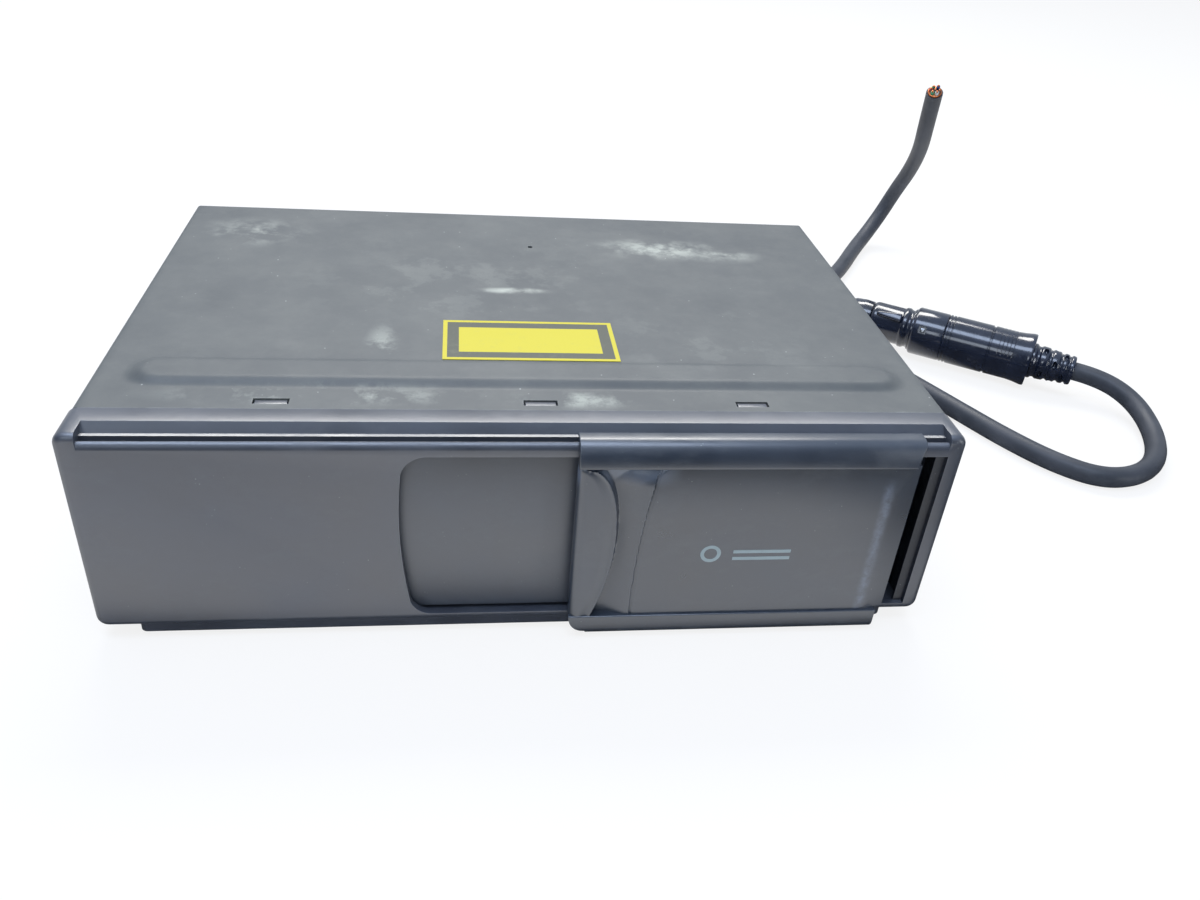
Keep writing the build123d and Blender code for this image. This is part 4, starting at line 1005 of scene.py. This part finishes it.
def make_sticker():
    """A bare label: yellow edge line, grey band, yellow field."""
    sticker = box_at("label", at(STICKER_X[0], STICKER_D[0], TOP + 0.02), at(STICKER_X[1], STICKER_D[1], TOP + 0.22))
    select_only(sticker)
    bpy.ops.object.mode_set(mode="EDIT")
    bpy.ops.mesh.select_mode(type="FACE")
    mesh = bmesh.from_edit_mesh(sticker.data)
    for face in mesh.faces:
        face.select_set(face.normal.z > 0.5)
    bmesh.update_edit_mesh(sticker.data)
    for inset, slot in ((0.0014, 1), (0.0037, 0)):
        bpy.ops.mesh.inset(thickness=inset, depth=0)
        mesh = bmesh.from_edit_mesh(sticker.data)
        for face in mesh.faces:
            if face.select:
                face.material_index = slot
        bmesh.update_edit_mesh(sticker.data)
    bpy.ops.object.mode_set(mode="OBJECT")
    sticker.data.materials.append(printed_film("label_yellow", tone(205, 190, 22), tone(188, 178, 62)))
    sticker.data.materials.append(printed_film("label_grey", tone(78, 80, 66), tone(118, 118, 96)))
    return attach(sticker, "housing")


# ---------------- sliding door
DOOR_LEFT, DOOR_RIGHT, DOOR_SEAM, DOOR_BACK = 11.5, 114.0, 63.2, -0.5
PANEL_FRONT, BAND_TOP, SLOPE_START, SLOPE_DEPTH = -3.6, 9.0, 106.5, 1.9
PANEL_LEFT, PANEL_CORNER = 30.4, 4.2
BOW_X, BOW_Z = 23.7, 38.0
CREST_FRONT, CREST_ROUND = -4.3, 3.2       # the crescent's front, and how far its left side is rounded
HOLLOW_DEEPEST, HOLLOW_RISE, HOLLOW_LIMIT = -0.8, 2.9, -0.75


def crescent_edge(z):
    """x of the crescent's bowed right edge, which reaches furthest right at BOW_Z."""
    if z > BOW_Z:
        return BOW_X - 9.0 * (1 - sqrt(max(0.0, 1 - ((z - BOW_Z) / 25.2) ** 2.6)))
    return BOW_X - 4.6 * ((BOW_Z - z) / 26.2) ** 2


def panel_edge(z):
    """x of the flat panel's left edge, its top corner rounded off to the right."""
    bow = PANEL_LEFT + 2.9 * ((z - BAND_TOP + 0.01) / 45) ** 2.2
    rise = z - (DOOR_SEAM - PANEL_CORNER)
    return bow + (PANEL_CORNER - sqrt(max(0.0, PANEL_CORNER ** 2 - rise * rise)) if rise > 0 else 0.0)


def soft_slope(value, start, steepness, radius):
    """0 before start, then rising steadily, the bend rounded off."""
    past = value - start
    if past < -radius:
        return 0.0
    if past > radius:
        return past * steepness
    return (past + radius) ** 2 / (4 * radius) * steepness


def door_front(x, z):
    """Depth of the door's front at a place, in mm behind the bezel's face."""
    edge, panel = crescent_edge(z), panel_edge(z)
    # crescent, rounded to the door's left side, with a fine rim along its edge
    crest = CREST_FRONT + 2.4 * (1 - sqrt(max(0.0, 1 - (1 - min(1.0, (x - DOOR_LEFT) / CREST_ROUND)) ** 2)))
    crest += 0.45 * ease(x, edge - 4.0, edge - 1.1) - 0.3 * ease(x, edge - 0.9, edge - 0.3)
    # hollow: steep at the crescent, rising gently, rolling back under the top
    floor = HOLLOW_DEEPEST - HOLLOW_RISE * ease(x, edge + 0.5, panel + 0.6)
    floor += 2.7 * max(0.0, (z - DOOR_SEAM + 6.5) / 6.5) ** 2
    floor = min(floor, HOLLOW_LIMIT)
    # panel, rolled back towards its top and sloped back on the right
    roll_back = 0.0055 * max(0.0, z - 46.0) ** 2
    flat = PANEL_FRONT + max(roll_back, soft_slope(x, SLOPE_START, SLOPE_DEPTH / (DOOR_RIGHT - SLOPE_START), 2.2))
    flat += 0.5 * (1 - ease(x, panel - 0.1, panel + 1.3))
    if x < edge:
        return crest
    if x < edge + 1.2:
        return crest + (floor - crest) * ease(x, edge, edge + 1.2)
    if x < panel:
        return floor
    return flat


def door_outline():
    """Solid with the door's front outline, its lower corners rounded, for trimming."""
    corners = [(DOOR_LEFT - 1, 80.0), (DOOR_RIGHT + 1, 80.0), (DOOR_RIGHT + 1, 9.0), (111.2, 9.0), (111.2, 2.6),
               (109.6, 1.0), (109.0, 0.5), (17.6, 0.5)]
    corners += [(17.0 - 5.4 * sin(k / 8 * pi / 2), 8.6 - 5.8 * cos(k / 8 * pi / 2)) for k in range(9)]
    corners += [(DOOR_LEFT + 0.02, 14.0), (DOOR_LEFT - 1, 15.0)]
    return drawn_out("outline", [at(x, -10, z) for x, z in corners], (0, 0.03, 0))


def make_door_panel():
    """Moulded door: crescent grip, finger hollow and panel, closed behind; below it the band with its hook."""
    columns = [DOOR_LEFT + k * 0.28 for k in range(int(28 / 0.28))]
    columns += [columns[-1] + 0.28 + k * (SLOPE_START - 0.3 - columns[-1]) / 60 for k in range(60)]
    columns += [SLOPE_START, SLOPE_START + 0.3]
    columns += [SLOPE_START + 1 + k * (DOOR_RIGHT - SLOPE_START - 1.3) / 6 for k in range(7)] + [DOOR_RIGHT]
    rows = [BAND_TOP + k * (DOOR_SEAM - BAND_TOP) / 110 for k in range(111)]
    door = grid("sliding_front", len(columns) - 1, len(rows) - 1)
    for vertex in door.data.vertices:
        x = columns[round(vertex.co.x * (len(columns) - 1))]
        z = rows[round(vertex.co.y * (len(rows) - 1))]
        vertex.co = at(x, door_front(x, z), z)
    # pulled back to the flat inner side
    open_edit(door)
    bpy.ops.mesh.extrude_region_move(TRANSFORM_OT_translate={"value": (0, 0.02, 0)})
    mesh = bmesh.from_edit_mesh(door.data)
    for vertex in mesh.verts:
        if vertex.select:
            vertex.co.y = FACE_Y + DOOR_BACK * MM
    bmesh.update_edit_mesh(door.data)
    face_outward()

    band = profile_bar("band", DOOR_LEFT + 0.05, 111.0, [
        (DOOR_BACK, BAND_TOP - 0.05), (-4.3, BAND_TOP - 0.05), (-4.5, BAND_TOP - 0.3), (-4.5, 4.2), (-4.3, 3.1),
        (-3.8, 2.1), (-2.9, 1.3), (-2.0, 0.95), (-1.2, 0.8), (5.6, 0.8), (5.6, 1.8), (0.2, 1.8), (0.2, 4.2),
        (DOOR_BACK, 4.2)])
    soften_edges(band, 0.0003, 2, 30)
    smooth(door, 50)
    whole = join("sliding_front", band, door)
    trim = door_outline()
    keep = whole.modifiers.new("trim", "BOOLEAN")
    keep.operation = "INTERSECT"
    keep.solver = "EXACT"
    keep.use_self = True
    keep.object = trim
    apply_modifiers(whole)
    bpy.data.objects.remove(trim, do_unlink=True)
    smooth(whole, 40)
    return dress(whole, MATERIALS["door_plastic"], "sliding_door", "door_panel")


def profile_bar(name, x0, x1, profile):
    """A bar along X with the given outline of (depth, z) corners, in mm."""
    return drawn_out(name, [at(x0, d, z) for d, z in profile], ((x1 - x0) * MM, 0, 0))


def make_door_roll():
    """Rounded top rail of the door, hooked over the ledge."""
    front = []
    for step in range(15):
        turn = step / 14 * pi / 2
        rise = 7.4 * sin(turn)
        front.append((0.35 - 4.75 * cos(turn) + 0.05 * rise, 63.9 + rise))
    profile = [(DOOR_BACK, DOOR_SEAM + 0.3), (-3.9, DOOR_SEAM + 0.3)] + front
    profile += [(3.2, 71.3), (3.7, 71.15), (4.05, 70.8), (4.2, 70.3), (4.2, 69.9), (3.3, 69.9), (3.3, 67.7),
                (2.3, 67.7), (2.3, 69.9), (0.4, 69.9), (DOOR_BACK, 68.9)]
    roll = profile_bar("top_rail", DOOR_LEFT, DOOR_RIGHT, profile)
    # right end cut back, in line with the panel's slope
    for vertex in roll.data.vertices:
        ahead = -1.9 - (vertex.co.y - FACE_Y) / MM
        if vertex.co.x > 0.1 and ahead > 0:
            vertex.co.x -= ahead * 0.94 * MM
    soften_edges(roll, 0.0006, 4, 50)
    return dress(roll, MATERIALS["door_plastic"], "sliding_door", "door_top_roll")


def make_mark():
    """Plain silver ring and bar where the door carries its print."""
    silver = printed_film("mark_silver", tone(158, 170, 168), tone(120, 128, 130))
    y = FACE_Y + (PANEL_FRONT - 0.01) * MM
    bpy.ops.mesh.primitive_torus_add(major_segments=48, minor_segments=8, major_radius=0.0026, minor_radius=0.0006,
                                     location=(0.0535, y, 0.0325), rotation=(radians(90), 0, 0))
    ring = settle(bpy.context.object)
    for vertex in ring.data.vertices:
        vertex.co.y = y + (vertex.co.y - y) * 0.08
    bars = [box_at("bar", at(60.5, PANEL_FRONT - 0.06, 30.0 + rise), at(78.5, PANEL_FRONT + 0.04, 31.2 + rise))
            for rise in (0.0, 2.6)]
    mark = join("door_mark", ring, *bars)
    soften_edges(mark, 0.00003, 1)
    return dress(mark, silver, "sliding_door")


def make_shutter():
    return finished_copy("inner_shutter", "shutter_plate", 0.3, "shutter", MATERIALS["shutter_plastic"], 3)


# ---------------- the rest keeps its shape, the listed nodes with softened edges
SOFTENED = {                   # node: bevel width in mm
    "base_tray": 0.25, "rear_panel": 0.25, "mouth_panel": 0.2, "eject_button": 0.3, "mech_chassis": 0.2,
    "magazine_guide": 0.2, "magazine_case": 0.3, "lift_deck": 0.2, "clamp_arm": 0.2, "lift_cam": 0.2,
    "pickup_sled": 0.25, "eject_lever": 0.2, "board_components": 0.2, "main_circuit_board": 0.15,
    "spindle_motor": 0.25, "turntable": 0.15, "clamp_puck": 0.15,
}


def dress_the_rest():
    """Every node that no piece stands for yet: a softened copy, or its own mesh with the right finish."""
    slots = {entry["node"]: entry["material_slot"] for entry in frame["record"]["subparts"]}
    bodies = {node: body for body, nodes in frame["record"]["behaviour"]["bodies"].items() for node in nodes}
    shade_plastic = mouth_painted_shade()
    for node, carried in frame["nodes"].items():
        if node in STOOD_FOR:
            continue
        # the mouth panel takes the painted shade plastic
        material = shade_plastic if node == "mouth_panel" else MATERIALS[slots[node]]
        if node in SOFTENED:
            piece = finished_copy(node, node + "_finished", SOFTENED[node], bodies[node], material)
        else:
            carried.data.materials.clear()
            carried.data.materials.append(material)


make_camera()
make_studio()
lead_ends = [make_strain_relief(), make_plug_shell()]
boot, socket = make_socket_boot(), make_socket_shell()
collar, collar_key = make_collar()
grommet = make_grommet()
cut_pieces = make_cut_end(lead_line())
make_cords()
make_cover()
make_bezel()
make_sticker()
make_door_panel()
make_door_roll()
make_mark()
make_shutter()
dress_the_rest()
